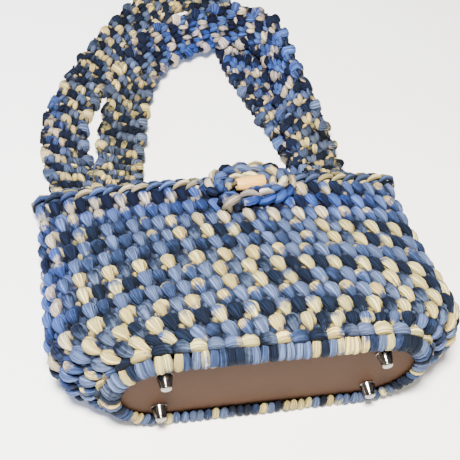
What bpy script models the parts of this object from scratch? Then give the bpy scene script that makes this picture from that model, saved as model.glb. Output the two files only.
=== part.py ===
"""A crocheted purse lying on its back, with its two shoulder straps laid out behind it.

Metres, +Z up. The back panel rests on z = 0, the base faces -Y, the rim and the straps lie
towards +Y. The walls are as thick as the crocheted yarn, and the stitches are left to the looks.
"""

import math

import bmesh
import bpy
import numpy as np

# Driving sizes
GAP = 0.0003
BOARD_LENGTH = 0.250
BOARD_DEPTH = 0.090
BOARD_THICKNESS = 0.004
EDGING_REACH = 0.0085
EDGING_LIP = 0.0065
EDGING_LIP_THICKNESS = 0.0040
PURSE_HEIGHT = 0.206
RIM_HALF_WIDTH = 0.1660
RIM_DEPTH = 0.0275
RIM_END_RADIUS = 0.0062
WALL = 0.0085
FRONT_SHARE = 0.65
BRAID_RADIUS = 0.0035
BRAID_OFFSET = 0.0050
STRAP_WIDTH = 0.047
STRAP_THICKNESS = 0.0075
STRAP_ROOT_X = 0.098
FRONT_STRAP_REACH = 0.227
BACK_STRAP_REACH = 0.308
FOOT_INSET_X = 0.038
FOOT_INSET_Z = 0.018
FOOT_HEIGHT = 0.0115
FOOT_WIDE_RADIUS = 0.0073
FOOT_TIP_RADIUS = 0.0042
BEAD_LENGTH = 0.027
BEAD_RADIUS = 0.0062
BEAD_END_RADIUS = 0.0050
BEAD_BORE_RADIUS = 0.0026
BEAD_CORD_RADIUS = 0.0021
LOOP_RADIUS = 0.0045
LOOP_HALF_LENGTH = 0.0345
LOOP_HALF_DEPTH = 0.0195
CLOSURE_X = 0.021
LOOP_SHIFT = -0.0015
LOOP_DROP = 0.0075
LOOP_START = -112
LOOP_END = 205
LOOP_DIP = 0.45
LOOP_STATIONS = 40
TETHER_RADIUS = 0.0035
KNOT_RADIUS = 0.0115
KNOT_HALF_HEIGHT = 0.0070
KNOT_ALONG_LOOP = 0.70
KNOT_PAST_LOOP = 0.45
BEAD_BARREL_SHARE = 0.45
CORD_KNEE_SHARE = 0.55

# Shape of the edging's section, as shares of its lip and of its reach
EDGING_BEND_SHARE = 0.55
EDGING_SHOULDER = 0.70
EDGING_SIDE = 0.45
EDGING_CORNER = 0.60

# Facets
AROUND = 64
BRAID_STATIONS = 72
STRAP_STATIONS = 34

# Sections of the wall from the base to the rim. Height is a share of the purse's height, flare a
# share of the way from the base's half length to the rim's, narrowing a share of the way from the
# base's depth to the rim's, tightening the same for the radius of the two ends, and lift a share
# of what the rim is held up by its braid.
WALL_SECTIONS = (
    # height, flare, narrowing, tightening, lift
    (0.063, 0.36, -0.02, 0.00, 0.00),
    (0.088, 0.62, -0.03, 0.05, 0.00),
    (0.130, 0.84, -0.04, 0.14, 0.00),
    (0.190, 0.95, -0.01, 0.24, 0.00),
    (0.280, 0.99, 0.10, 0.36, 0.00),
    (0.420, 0.98, 0.28, 0.52, 0.00),
    (0.580, 0.96, 0.50, 0.68, 0.05),
    (0.740, 0.96, 0.71, 0.82, 0.20),
    (0.880, 0.98, 0.88, 0.93, 0.60),
    (0.985, 1.00, 1.00, 1.00, 1.00),
)

# Courses of the straps past the rim. Across is a share of the root's distance from the middle,
# along a share of the strap's reach past the rim, lean the degrees by which its outer edge is
# raised, and stack the number of strap thicknesses that it lies on.
FRONT_STRAP_COURSE = (
    # across, along, lean, stack
    (-0.93, 0.20, 0, 1.35),
    (-0.85, 0.40, 2, 0.95),
    (-0.75, 0.58, 8, 0.85),
    (-0.60, 0.745, 20, 1.00),
    (-0.37, 0.87, 30, 1.05),
    (-0.09, 0.945, 35, 1.10),
    (0.22, 0.985, 38, 1.20),
    (0.52, 1.00, 46, 1.25),
    (0.78, 0.94, 60, 1.25),
    (0.90, 0.83, 74, 1.15),
    (0.94, 0.70, 78, 1.15),
    (0.95, 0.58, 66, 1.25),
    (0.99, 0.44, 36, 1.30),
    (1.05, 0.28, 10, 1.35),
    (1.07, 0.16, 3, 1.50),
)
BACK_STRAP_COURSE = (
    (-1.35, 0.10, 0, 0.20),
    (-1.41, 0.20, 0, 0.00),
    (-1.42, 0.31, 0, 0.00),
    (-1.36, 0.41, 0, 0.00),
    (-1.24, 0.49, 0, 0.00),
    (-1.03, 0.61, 0, 0.00),
    (-0.73, 0.756, 0, 0.00),
    (-0.38, 0.892, 0, 0.00),
    (-0.03, 0.985, 0, 0.00),
    (0.33, 0.955, 0, 0.00),
    (0.55, 0.815, 0, 0.00),
    (0.59, 0.648, 0, 0.00),
    (0.71, 0.500, 0, 0.00),
    (0.86, 0.357, 0, 0.00),
    (0.98, 0.219, 0, 0.00),
    (1.06, 0.100, 0, 0.15),
)
FRONT_STRAP_ROOTS = (-0.99, 1.05)
BACK_STRAP_ROOTS = (-1.26, 1.06)

FOOT_SPREAD_X = BOARD_LENGTH / 2 - FOOT_INSET_X
FOOT_SPREAD_Z = BOARD_DEPTH / 2 - FOOT_INSET_Z
BASE_HALF_LENGTH = BOARD_LENGTH / 2 + EDGING_REACH - WALL / 2
BASE_DEPTH = BOARD_DEPTH + 2 * EDGING_REACH - WALL
BASE_CENTRE_Z = BOARD_DEPTH / 2 + EDGING_REACH
EDGING_TOP = BOARD_THICKNESS + EDGING_LIP_THICKNESS
RIM_LIFT = BRAID_OFFSET + BRAID_RADIUS - WALL / 2


def clear_scene():
    """Remove what the scene starts with."""
    for obj in list(bpy.data.objects):
        bpy.data.objects.remove(obj, do_unlink=True)


def make_material(name, colour, roughness, metallic=0.0):
    """One Principled material from a colour in linear light."""
    material = bpy.data.materials.new(name)
    material.use_nodes = True
    shader = material.node_tree.nodes["Principled BSDF"]
    shader.inputs["Base Color"].default_value = (*colour, 1.0)
    shader.inputs["Roughness"].default_value = roughness
    shader.inputs["Metallic"].default_value = metallic
    return material


def add_object(name, data, material, parts, parent):
    """Link a mesh or a curve as one named part."""
    obj = bpy.data.objects.new(name, data)
    data.materials.append(material)
    parts.objects.link(obj)
    obj.parent = parent
    return obj


def smooth_course(points, count):
    """Points at even lengths along a Catmull-Rom curve through the rows of a table."""
    points = np.asarray(points, float)
    ends = np.vstack([2 * points[0] - points[1], points, 2 * points[-1] - points[-2]])
    t = np.linspace(0, 1, 12, endpoint=False)[:, None]
    dense = []
    for a, b, c, d in zip(ends[:-3], ends[1:-2], ends[2:-1], ends[3:]):
        dense.append(
            0.5 * (2 * b + (c - a) * t + (2 * a - 5 * b + 4 * c - d) * t**2 + (3 * b - 3 * c + d - a) * t**3)
        )
    dense = np.vstack([*dense, points[-1:]])
    return resample(dense, count)


def resample(points, count):
    """The same line with its points at even lengths of its first three columns."""
    steps = np.linalg.norm(np.diff(points[:, :3], axis=0), axis=1)
    length = np.concatenate([[0.0], np.cumsum(steps)])
    at = np.linspace(0, length[-1], count)
    return np.stack([np.interp(at, length, column) for column in points.T], axis=1)


def stadium(half_length, radius, count):
    """Outline of a slot with round ends, from its +X end towards +Z, and its outward normals."""
    straight = half_length - radius
    quarter = math.pi / 2 * radius
    total = 4 * (straight + quarter)
    at = np.arange(count) / count * total
    side = np.floor(at / (total / 4)).astype(int)
    along = at - side * total / 4
    along = np.where(side % 2 == 1, total / 4 - along, along)
    angle = np.clip(along / radius, 0, math.pi / 2)
    run = np.clip(along - quarter, 0, straight)
    x = straight - run + radius * np.cos(angle)
    z = radius * np.sin(angle)
    sign_x = np.where((side == 1) | (side == 2), -1.0, 1.0)
    sign_z = np.where(side >= 2, -1.0, 1.0)
    outline = np.stack([sign_x * x, sign_z * z], axis=1)
    normal = np.stack([sign_x * np.cos(angle), sign_z * np.sin(angle)], axis=1)
    return outline, normal


def wall_section(half_length, depth, radius, lift, count):
    """Middle of the wall round the purse: a slot whose long sides bulge, most of it in front."""
    outline, _ = stadium(half_length, radius, count)
    x, z = outline.T
    straight = half_length - radius
    bulge = np.clip(1 - np.abs(x / straight) ** 2.5, 0, None) * (depth - 2 * radius)
    share = np.where(z >= 0, FRONT_SHARE, 1 - FRONT_SHARE)
    low = WALL / 2 + lift * RIM_LIFT
    centre = low + radius + (1 - FRONT_SHARE) * (depth - 2 * radius)
    return x, centre + z + np.sign(z) * bulge * share


def wall_rows():
    """Sizes of every section of the wall: place along Y, half length, depth, end radius, lift."""
    start = EDGING_TOP + GAP
    rows = [(start, BASE_HALF_LENGTH, BASE_DEPTH, BASE_DEPTH / 2, 0.0)]
    rows.append((start + WALL / 3, BASE_HALF_LENGTH, BASE_DEPTH, BASE_DEPTH / 2, 0.0))
    for height, flare, narrowing, tightening, lift in WALL_SECTIONS:
        rows.append(
            (
                height * PURSE_HEIGHT,
                BASE_HALF_LENGTH + flare * (RIM_HALF_WIDTH - BASE_HALF_LENGTH),
                BASE_DEPTH + narrowing * (RIM_DEPTH - BASE_DEPTH),
                BASE_DEPTH / 2 + tightening * (RIM_END_RADIUS - BASE_DEPTH / 2),
                lift,
            )
        )
    rows.append((PURSE_HEIGHT, *rows[-1][1:]))
    return rows


def front_height(x, y):
    """Height of the wall's outer front face above a point of the table."""
    rows = np.array(wall_rows())
    sizes = [np.interp(y, rows[:, 0], column) for column in rows.T[1:]]
    section_x, section_z = wall_section(*sizes, 256)
    front = slice(1, 128)
    return np.interp(x, section_x[front][::-1], section_z[front][::-1]) + WALL / 2


def skin(rings, cap_ends):
    """Points and faces of a loft through rings. Without caps the last ring meets the first."""
    rings = np.asarray(rings, float)
    stations, around, _ = rings.shape
    spans = stations - 1 if cap_ends else stations
    a, b = np.meshgrid(np.arange(spans), np.arange(around), indexing="ij")
    near, far = a * around, (a + 1) % stations * around
    turn = (b + 1) % around
    faces = np.stack([near + b, near + turn, far + turn, far + b], axis=-1).reshape(-1, 4).tolist()
    if cap_ends:
        faces.append(list(range(around))[::-1])
        faces.append([(stations - 1) * around + k for k in range(around)])
    return rings.reshape(-1, 3).tolist(), faces


def mesh_from(name, points, faces):
    """A mesh with its faces turned outwards."""
    mesh = bpy.data.meshes.new(name)
    mesh.from_pydata(points, [], faces)
    shape = bmesh.new()
    shape.from_mesh(mesh)
    bmesh.ops.recalc_face_normals(shape, faces=shape.faces)
    shape.to_mesh(mesh)
    shape.free()
    mesh.shade_smooth()
    mesh.set_sharp_from_angle(angle=math.radians(40))
    return mesh


def tube(name, points, radius, cyclic=False):
    """A round cord along given points, as a poly curve with filled ends."""
    curve = bpy.data.curves.new(name, "CURVE")
    curve.dimensions = "3D"
    curve.bevel_depth = radius
    curve.bevel_resolution = 3
    curve.use_fill_caps = True
    spline = curve.splines.new("POLY")
    spline.points.add(len(points) - 1)
    for point, place in zip(spline.points, points):
        point.co = (*place, 1.0)
    spline.use_cyclic_u = cyclic
    return curve


def add_base_board(parts, parent):
    """The oval base board, facing -Y."""
    outline, _ = stadium(BOARD_LENGTH / 2, BOARD_DEPTH / 2, AROUND)
    curve = bpy.data.curves.new("base_board", "CURVE")
    curve.dimensions = "2D"
    curve.fill_mode = "BOTH"
    curve.extrude = BOARD_THICKNESS / 2
    spline = curve.splines.new("POLY")
    spline.points.add(len(outline) - 1)
    for point, (x, z) in zip(spline.points, outline):
        point.co = (x, z, 0.0, 1.0)
    spline.use_cyclic_u = True
    material = make_material("board_leather", (0.21, 0.13, 0.085), 0.55)
    board = add_object("base_board", curve, material, parts, parent)
    board.location = (0.0, BOARD_THICKNESS / 2, BASE_CENTRE_Z)
    board.rotation_euler = (math.pi / 2, 0.0, 0.0)


def add_base_edging(parts, parent):
    """The round of yarn that wraps the board's edge, as a ring with a groove for it."""
    lip, half = EDGING_LIP_THICKNESS, BOARD_THICKNESS / 2
    bend = (EDGING_REACH - GAP) * EDGING_BEND_SHARE
    shoulder = bend * EDGING_SHOULDER
    side = bend + (EDGING_REACH - bend) * EDGING_SHOULDER
    top_half = (
        # outward from the board's edge, along Y from the board's middle
        (side, half + lip * EDGING_SIDE),
        (shoulder, half + lip),
        (-EDGING_LIP * EDGING_CORNER, half + lip),
        (-EDGING_LIP, half + lip * EDGING_CORNER),
        (-EDGING_LIP, half + GAP),
        (GAP, half + GAP),
    )
    bottom_half = tuple((out, -up) for out, up in reversed(top_half))
    profile = (*bottom_half, (EDGING_REACH, 0.0), *top_half)
    outline, normal = stadium(BOARD_LENGTH / 2, BOARD_DEPTH / 2, AROUND)
    rings = []
    for place, out in zip(outline, normal):
        ring = [(*(place + out * reach), up) for reach, up in profile]
        rings.append([(x, half + up, BASE_CENTRE_Z + z) for x, z, up in ring])
    points, faces = skin(rings, cap_ends=False)
    material = make_material("edging_yarn", (0.30, 0.38, 0.50), 0.85)
    add_object("base_edging", mesh_from("base_edging", points, faces), material, parts, parent)


def unit(vectors):
    """Vectors scaled to length one."""
    return vectors / np.linalg.norm(vectors, axis=-1)[..., None]


def wall_faces():
    """Outer and inner points of the whole wall, from its middle and the normals there.

    An offset is longer at a corner, by one over the cosine of half the turn, to keep the thickness.
    """
    middle = []
    for y, half_length, depth, radius, lift in wall_rows():
        x, z = wall_section(half_length, depth, radius, lift, AROUND)
        middle.append(np.stack([x, np.full_like(x, y), z], axis=1))
    middle = np.array(middle)
    before = unit(middle - np.roll(middle, 1, axis=1))
    after = unit(np.roll(middle, -1, axis=1) - middle)
    half_turn = np.sqrt((1 + (before * after).sum(axis=-1)) / 2)[..., None]
    normal = unit(np.cross(np.gradient(middle, axis=0), before + after))
    normal[[1, -2]] = normal[[0, -1]]
    seams = [0, AROUND // 2]
    normal[:, seams, 2] = 0.0
    offset = unit(normal) * WALL / 2 / half_turn
    return middle + offset, middle - offset


def add_body_walls(parts, parent):
    """The crocheted wall from the base edging to the rim, as a front and a back half of a sleeve."""
    outer, inner = wall_faces()
    material = make_material("body_yarn", (0.28, 0.36, 0.50), 0.85)
    half = AROUND // 2
    for name, start, side in (("body_front", 0, 1), ("body_back", half, -1)):
        columns = np.arange(start, start + half + 1) % AROUND
        rings = np.concatenate([outer[:, columns], inner[:, columns[::-1]]], axis=1)
        seam = [0, half, half + 1, 2 * half + 1]
        rings[:, seam, 2] += side * GAP / 2
        points, faces = skin(rings, cap_ends=True)
        add_object(name, mesh_from(name, points, faces), material, parts, parent)


def add_rim_braid(parts, parent):
    """The slim braid round the mouth, on the outer corner of the rim."""
    x, z = wall_section(RIM_HALF_WIDTH, RIM_DEPTH, RIM_END_RADIUS, 1.0, BRAID_STATIONS)
    outline = np.stack([x, z], axis=1)
    side = np.roll(outline, -1, axis=0) - np.roll(outline, 1, axis=0)
    out = np.stack([side[:, 1], -side[:, 0]], axis=1)
    out /= np.linalg.norm(out, axis=1)[:, None]
    path = outline + out * BRAID_OFFSET
    y = PURSE_HEIGHT + BRAID_RADIUS + GAP
    curve = tube("rim_braid", [(px, y, pz) for px, pz in path], BRAID_RADIUS, cyclic=True)
    material = make_material("braid_yarn", (0.33, 0.44, 0.62), 0.85)
    add_object("rim_braid", curve, material, parts, parent)


def strap_root(x, is_front):
    """Where a strap leaves the rim just inside its braid: place, then lean, as the rim runs there."""
    sizes = (RIM_HALF_WIDTH, RIM_DEPTH, RIM_END_RADIUS, 1.0)
    section_x, section_z = wall_section(*sizes, 256)
    half = slice(1, 128) if is_front else slice(129, 256)
    order = np.argsort(section_x[half])
    edges = (abs(x) - STRAP_WIDTH / 2, abs(x) + STRAP_WIDTH / 2)
    inner, outer = np.interp(edges, section_x[half][order], section_z[half][order])
    inward = STRAP_THICKNESS / 2 + GAP + BRAID_RADIUS - BRAID_OFFSET
    z = (inner + outer) / 2 - (inward if is_front else -inward)
    return x, PURSE_HEIGHT + GAP, z, math.atan2(outer - inner, STRAP_WIDTH)


def strap_rows(course, reach, roots, is_front):
    """Centre line of a strap with its lean: place, then lean in radians."""
    past_braid = np.array((0.0, 3 * BRAID_RADIUS, 0.0, 0.0))
    left, right = [np.array(strap_root(share * STRAP_ROOT_X, is_front)) for share in roots]
    rows = [left + past_braid]
    for across, along, lean, stack in course:
        tilt = math.radians(lean)
        rest = stack * (STRAP_THICKNESS + GAP)
        z = rest + STRAP_WIDTH / 2 * math.sin(tilt) + STRAP_THICKNESS / 2 * math.cos(tilt)
        rows.append((across * STRAP_ROOT_X, PURSE_HEIGHT + along * reach, z + GAP, tilt))
    rows.append(right + past_braid)
    return np.vstack([left, smooth_course(rows, STRAP_STATIONS), right])


def add_strap(name, course, reach, roots, is_front, material, parts, parent):
    """A flat crocheted band with softened edges, lofted along its course."""
    rows = strap_rows(course, reach, roots, is_front)
    centre, tilt = rows[:, :3], rows[:, 3]
    run = np.gradient(centre, axis=0)
    run[0] = (0.0, 1.0, 0.0)
    run[-1] = (0.0, -1.0, 0.0)
    run /= np.linalg.norm(run, axis=1)[:, None]
    level = np.cross((0.0, 0.0, 1.0), run)
    level /= np.linalg.norm(level, axis=1)[:, None]
    over = np.cross(run, level)
    outer = level * np.cos(tilt)[:, None] + over * np.sin(tilt)[:, None]
    face = np.cross(run, outer)
    half_width, half_thickness = STRAP_WIDTH / 2, STRAP_THICKNESS / 2
    profile = (
        # share of the half width, share of the half thickness
        (1.00, 0.40),
        (0.90, 1.00),
        (-0.90, 1.00),
        (-1.00, 0.40),
        (-1.00, -0.40),
        (-0.90, -1.00),
        (0.90, -1.00),
        (1.00, -0.40),
    )
    rings = [centre + outer * across * half_width + face * up * half_thickness for across, up in profile]
    points, faces = skin(np.stack(rings, axis=1), cap_ends=True)
    add_object(name, mesh_from(name, points, faces), material, parts, parent)


def add_straps(parts, parent):
    """The two shoulder straps: the back one lies on the table, the front one partly on it."""
    material = make_material("strap_yarn", (0.26, 0.34, 0.48), 0.85)
    front = (FRONT_STRAP_COURSE, FRONT_STRAP_REACH, FRONT_STRAP_ROOTS, True)
    back = (BACK_STRAP_COURSE, BACK_STRAP_REACH, BACK_STRAP_ROOTS, False)
    add_strap("strap_front", *front, material, parts, parent)
    add_strap("strap_back", *back, material, parts, parent)


def add_feet(parts, parent):
    """Four tapered metal feet on the board, wide end against it."""
    bpy.ops.mesh.primitive_cone_add(
        vertices=24, radius1=FOOT_WIDE_RADIUS, radius2=FOOT_TIP_RADIUS, depth=FOOT_HEIGHT
    )
    cone = bpy.context.object
    mesh = cone.data
    bpy.data.objects.remove(cone, do_unlink=True)
    mesh.materials.append(make_material("chrome", (0.80, 0.80, 0.82), 0.12, 1.0))
    mesh.shade_smooth()
    mesh.set_sharp_from_angle(angle=math.radians(40))
    for row, up in (("front", 1), ("back", -1)):
        for side, across in (("left", -1), ("right", 1)):
            foot = bpy.data.objects.new(f"foot_{row}_{side}", mesh)
            parts.objects.link(foot)
            foot.parent = parent
            foot.rotation_euler = (math.pi / 2, 0.0, 0.0)
            foot.location = (
                across * FOOT_SPREAD_X,
                -GAP - FOOT_HEIGHT / 2,
                BASE_CENTRE_Z + up * FOOT_SPREAD_Z,
            )


def front_slope(x, y):
    """Angle at which the front panel rises along Y."""
    step = WALL / 2
    rise = front_height(x, y + step) - front_height(x, y - step)
    return math.atan2(rise, 2 * step)


def closure_height(x, y, radius):
    """Centre height of something of that radius lying on the front panel or on its rim braid."""
    y = min(y, PURSE_HEIGHT)
    wall = front_height(x, y) + radius / math.cos(front_slope(x, y))
    braid = front_height(x, PURSE_HEIGHT) + BRAID_OFFSET + BRAID_RADIUS - WALL / 2 + radius
    past_braid = PURSE_HEIGHT - y - BRAID_RADIUS
    near_rim = np.interp(past_braid, (BRAID_RADIUS, 4 * BRAID_RADIUS), (1, 0))
    return max(wall, wall + (braid - wall) * near_rim) + 3 * GAP


def add_closure(parts, parent):
    """A wooden toggle bead on its cord, a loop from the back rim round it, and the loop's knot."""
    yarn = make_material("closure_yarn", (0.40, 0.46, 0.55), 0.85)
    bead_y = PURSE_HEIGHT - BEAD_RADIUS - BRAID_RADIUS
    bead_z = closure_height(CLOSURE_X, bead_y, BEAD_RADIUS) + LOOP_RADIUS
    half = BEAD_LENGTH / 2
    turned = (
        # radius, place along the bead
        (BEAD_BORE_RADIUS, half),
        (BEAD_END_RADIUS, half),
        (BEAD_RADIUS, half * BEAD_BARREL_SHARE),
        (BEAD_RADIUS, -half * BEAD_BARREL_SHARE),
        (BEAD_END_RADIUS, -half),
        (BEAD_BORE_RADIUS, -half),
    )
    profile = bpy.data.meshes.new("toggle_bead")
    edges = [(k, (k + 1) % len(turned)) for k in range(len(turned))]
    profile.from_pydata([(radius, 0.0, z) for radius, z in turned], edges, [])
    profile.shade_smooth()
    wood = make_material("pale_wood", (0.78, 0.60, 0.38), 0.45)
    bead = add_object("toggle_bead", profile, wood, parts, parent)
    screw = bead.modifiers.new("turned", "SCREW")
    screw.steps = 20
    screw.render_steps = 20
    screw.use_merge_vertices = True
    screw.merge_threshold = 0.00001
    bead.rotation_euler = (0.0, math.pi / 2, 0.0)
    bead.location = (CLOSURE_X, bead_y, bead_z)

    foot_reach = half + 2 * BEAD_CORD_RADIUS
    left, right = CLOSURE_X - foot_reach, CLOSURE_X + foot_reach
    left_z, right_z = [
        front_height(x, bead_y) + BEAD_CORD_RADIUS * abs(math.tan(front_slope(x, bead_y))) + 2 * GAP
        for x in (left, right)
    ]
    cord_rows = (
        (left, bead_y, left_z),
        (left, bead_y, left_z + (bead_z - left_z) * CORD_KNEE_SHARE),
        (CLOSURE_X - half, bead_y, bead_z),
        (CLOSURE_X, bead_y, bead_z),
        (CLOSURE_X + half, bead_y, bead_z),
        (right, bead_y, right_z + (bead_z - right_z) * CORD_KNEE_SHARE),
        (right, bead_y, right_z),
    )
    cord = tube("toggle_cord", smooth_course(cord_rows, 21), BEAD_CORD_RADIUS)
    add_object("toggle_cord", cord, yarn, parts, parent)

    loop_x = CLOSURE_X - LOOP_SHIFT
    loop_y = PURSE_HEIGHT - LOOP_DROP
    knot_x = loop_x - LOOP_HALF_LENGTH * KNOT_ALONG_LOOP
    knot_y = loop_y - LOOP_HALF_DEPTH - KNOT_RADIUS * KNOT_PAST_LOOP
    path = []
    for angle in np.linspace(math.radians(LOOP_START), math.radians(LOOP_END), LOOP_STATIONS):
        x = loop_x + LOOP_HALF_LENGTH * math.cos(angle)
        y = loop_y + LOOP_HALF_DEPTH * math.sin(angle)
        past_rim = max(0.0, y - PURSE_HEIGHT - 2 * BRAID_RADIUS)
        path.append((x, y, closure_height(x, y, LOOP_RADIUS) - past_rim * LOOP_DIP))
    add_object("closure_loop", tube("closure_loop", path, LOOP_RADIUS), yarn, parts, parent)

    far = max(path, key=lambda place: place[1])
    back_braid = 2 * BRAID_RADIUS + GAP
    rim_y = PURSE_HEIGHT + BRAID_RADIUS
    tether_rows = (
        (far[0], far[1], far[2] - LOOP_RADIUS - 2 * GAP),
        (far[0], far[1] - TETHER_RADIUS * 0.5, (far[2] + back_braid) / 2),
        (far[0], rim_y + BRAID_RADIUS, back_braid + 2.2 * TETHER_RADIUS),
        (far[0], rim_y, back_braid + GAP),
    )
    tether = tube("loop_tether", smooth_course(tether_rows, 9), TETHER_RADIUS)
    add_object("loop_tether", tether, yarn, parts, parent)

    shape = bmesh.new()
    bmesh.ops.create_uvsphere(shape, u_segments=16, v_segments=10, radius=KNOT_RADIUS)
    bmesh.ops.scale(shape, vec=(1.0, 1.0, KNOT_HALF_HEIGHT / KNOT_RADIUS), verts=shape.verts)
    mesh = bpy.data.meshes.new("closure_knot")
    shape.to_mesh(mesh)
    shape.free()
    mesh.shade_smooth()
    knot = add_object("closure_knot", mesh, yarn, parts, parent)
    slope = front_slope(knot_x, knot_y)
    height = front_height(knot_x, knot_y) + (KNOT_HALF_HEIGHT + 3 * GAP) / math.cos(slope)
    knot.location = (knot_x, knot_y, height)
    knot.rotation_euler = (slope, 0.0, 0.0)


def centre_on_table(parent, parts):
    """Move everything so that the origin is at the middle of the bounding box's underside."""
    bpy.context.view_layer.update()
    graph = bpy.context.evaluated_depsgraph_get()
    points = []
    for obj in parts.objects:
        shape = obj.evaluated_get(graph)
        points += [shape.matrix_world @ vertex.co for vertex in shape.to_mesh().vertices]
        shape.to_mesh_clear()
    points = np.array(points)
    low, high = points.min(axis=0), points.max(axis=0)
    parent.location = (-(low[0] + high[0]) / 2, -(low[1] + high[1]) / 2, -low[2])


def main():
    clear_scene()
    parts = bpy.data.collections.new("purse")
    bpy.context.scene.collection.children.link(parts)
    parent = bpy.data.objects.new("purse_origin", None)
    bpy.context.scene.collection.objects.link(parent)
    add_base_board(parts, parent)
    add_base_edging(parts, parent)
    add_body_walls(parts, parent)
    add_rim_braid(parts, parent)
    add_straps(parts, parent)
    add_feet(parts, parent)
    add_closure(parts, parent)
    centre_on_table(parent, parts)


main()
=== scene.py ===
# %% [markdown]
# # A crocheted purse, lying on its back
# This notebook dresses a plain model of a purse in real stitches. The purse is worked in rounds of
# thick space-dyed yarn up from an oval base board, and lies on its back panel with its two straps
# laid out behind it. Every stitch below is a short length of yarn carried along a path on a
# surface, so we first build the surfaces, then one way to lay stitches on any of them.

# %% The frame and its boxes
import math

import bpy
import numpy as np
from mathutils import Matrix, Vector


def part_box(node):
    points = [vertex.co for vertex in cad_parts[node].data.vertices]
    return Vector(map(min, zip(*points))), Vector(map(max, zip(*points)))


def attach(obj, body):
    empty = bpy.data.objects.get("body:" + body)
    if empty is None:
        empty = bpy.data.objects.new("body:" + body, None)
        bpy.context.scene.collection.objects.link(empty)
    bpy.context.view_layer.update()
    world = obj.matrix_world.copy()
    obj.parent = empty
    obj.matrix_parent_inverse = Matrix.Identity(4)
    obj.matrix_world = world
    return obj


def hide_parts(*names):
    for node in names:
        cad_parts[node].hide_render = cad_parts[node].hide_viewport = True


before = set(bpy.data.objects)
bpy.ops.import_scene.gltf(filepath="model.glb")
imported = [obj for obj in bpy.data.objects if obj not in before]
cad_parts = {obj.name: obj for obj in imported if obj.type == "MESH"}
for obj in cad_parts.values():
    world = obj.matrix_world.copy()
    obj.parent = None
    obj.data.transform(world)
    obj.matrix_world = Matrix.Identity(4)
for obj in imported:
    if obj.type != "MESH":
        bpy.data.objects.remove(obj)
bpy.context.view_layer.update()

# %% [markdown]
# The purse has its own frame, with y = 0 on the board's outer face and z = 0 on the table. The
# model's origin lies elsewhere, so one shift carries a shape from the purse's frame to the model's.

# %% Where the purse's own frame lies
board_low, board_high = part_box("base_board")
rim_low, rim_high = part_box("rim_braid")
BRAID_RADIUS = (rim_high[1] - rim_low[1]) / 2
BOARD_LENGTH = board_high[0] - board_low[0]
BOARD_DEPTH = board_high[2] - board_low[2]
BOARD_THICKNESS = board_high[1] - board_low[1]
PURSE_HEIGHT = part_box("body_front")[1][1] - board_low[1]
BASE_CENTRE_Z = 0.0535
SHIFT = np.array([0.0, board_low[1], (board_low[2] + board_high[2]) / 2 - BASE_CENTRE_Z])
print("purse height:", round(PURSE_HEIGHT, 4), "shift:", np.round(SHIFT, 4).tolist())

# %% [markdown]
# ## The camera
# The photograph was taken from above and to the left of the base, tilted a little. The camera
# looks at a point on the front panel from a distance, turned by an azimuth, an elevation and a roll.

# %% The photograph's camera
CAMERA_AZIMUTH = math.radians(-20.5)
CAMERA_ELEVATION = math.radians(53.4)
CAMERA_ROLL = math.radians(12.7)
CAMERA_DISTANCE = 0.8368
CAMERA_TARGET = np.array([0.0, 0.1647, 0.0276])
CAMERA_LENS = 71.84


def placed(name, data):
    """A new object of the scene."""
    obj = bpy.data.objects.new(name, data)
    bpy.context.scene.collection.objects.link(obj)
    return obj


def camera_axes(azimuth, elevation, roll):
    """Right, up and backward axes: backward points from the target to the camera, and roll turns
    right towards up."""
    flat, high = math.cos(elevation), math.sin(elevation)
    back = np.array([math.sin(azimuth) * flat, -math.cos(azimuth) * flat, high])
    level = np.cross([0.0, 0.0, 1.0], back)
    level /= np.linalg.norm(level)
    over = np.cross(back, level)
    right = level * math.cos(roll) + over * math.sin(roll)
    up = over * math.cos(roll) - level * math.sin(roll)
    return right, up, back


right, up, back = camera_axes(CAMERA_AZIMUTH, CAMERA_ELEVATION, CAMERA_ROLL)
camera_place = CAMERA_TARGET + SHIFT + back * CAMERA_DISTANCE
lens = bpy.data.cameras.new("camera")
lens.lens = CAMERA_LENS
lens.sensor_width = 36.0
lens.clip_start = 0.02
camera = placed("camera", lens)
turn = Matrix([[right[k], up[k], back[k]] for k in range(3)]).to_4x4()
camera.matrix_world = Matrix.Translation(Vector(camera_place)) @ turn
bpy.context.scene.camera = camera
print("camera at", np.round(camera_place, 3).tolist())

# %% [markdown]
# ## The light and the floor
# The photograph shows daylight on a white ground, with crisp shade between the stitches and a
# bluish light from the upper left. A large pale floor, an even sky and three lamps give the same:
# a small strong key light above, a blue fill and a broad light in front. The yarn adds painted
# shade between the stitches and painted blue daylight in places.

# %% Floor, sky and lamps
FLOOR_HALF, FLOOR_DROP = 6.0, 0.0004
SKY_STRENGTH = 0.30
LAMP_AIM = (0.0, -0.08, 0.05)
LAMPS = (
    # name, place, size, power, colour
    ("key_light", (-0.25, -0.45, 1.25), 0.24, 92.0, (1.0, 0.96, 0.88)),
    ("fill_light", (-1.0, 0.5, 0.45), 0.7, 14.0, (0.25, 0.45, 1.0)),
    ("front_light", (0.6, -1.3, 0.5), 0.8, 8.0, (1.0, 0.94, 0.86)),
)
floor_mesh = bpy.data.meshes.new("floor")
signs = ((-1, -1), (1, -1), (1, 1), (-1, 1))
floor_mesh.from_pydata([(x * FLOOR_HALF, y * FLOOR_HALF, 0) for x, y in signs], [], [(0, 1, 2, 3)])
floor = placed("floor", floor_mesh)
floor.location = (0.0, 0.0, -FLOOR_DROP)
floor_finish = bpy.data.materials.new("floor_paper")
floor_finish.use_nodes = True
floor_shader = floor_finish.node_tree.nodes["Principled BSDF"]
floor_shader.inputs["Base Color"].default_value = (0.98, 0.98, 0.98, 1.0)
floor_shader.inputs["Roughness"].default_value = 0.9
floor_mesh.materials.append(floor_finish)

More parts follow.
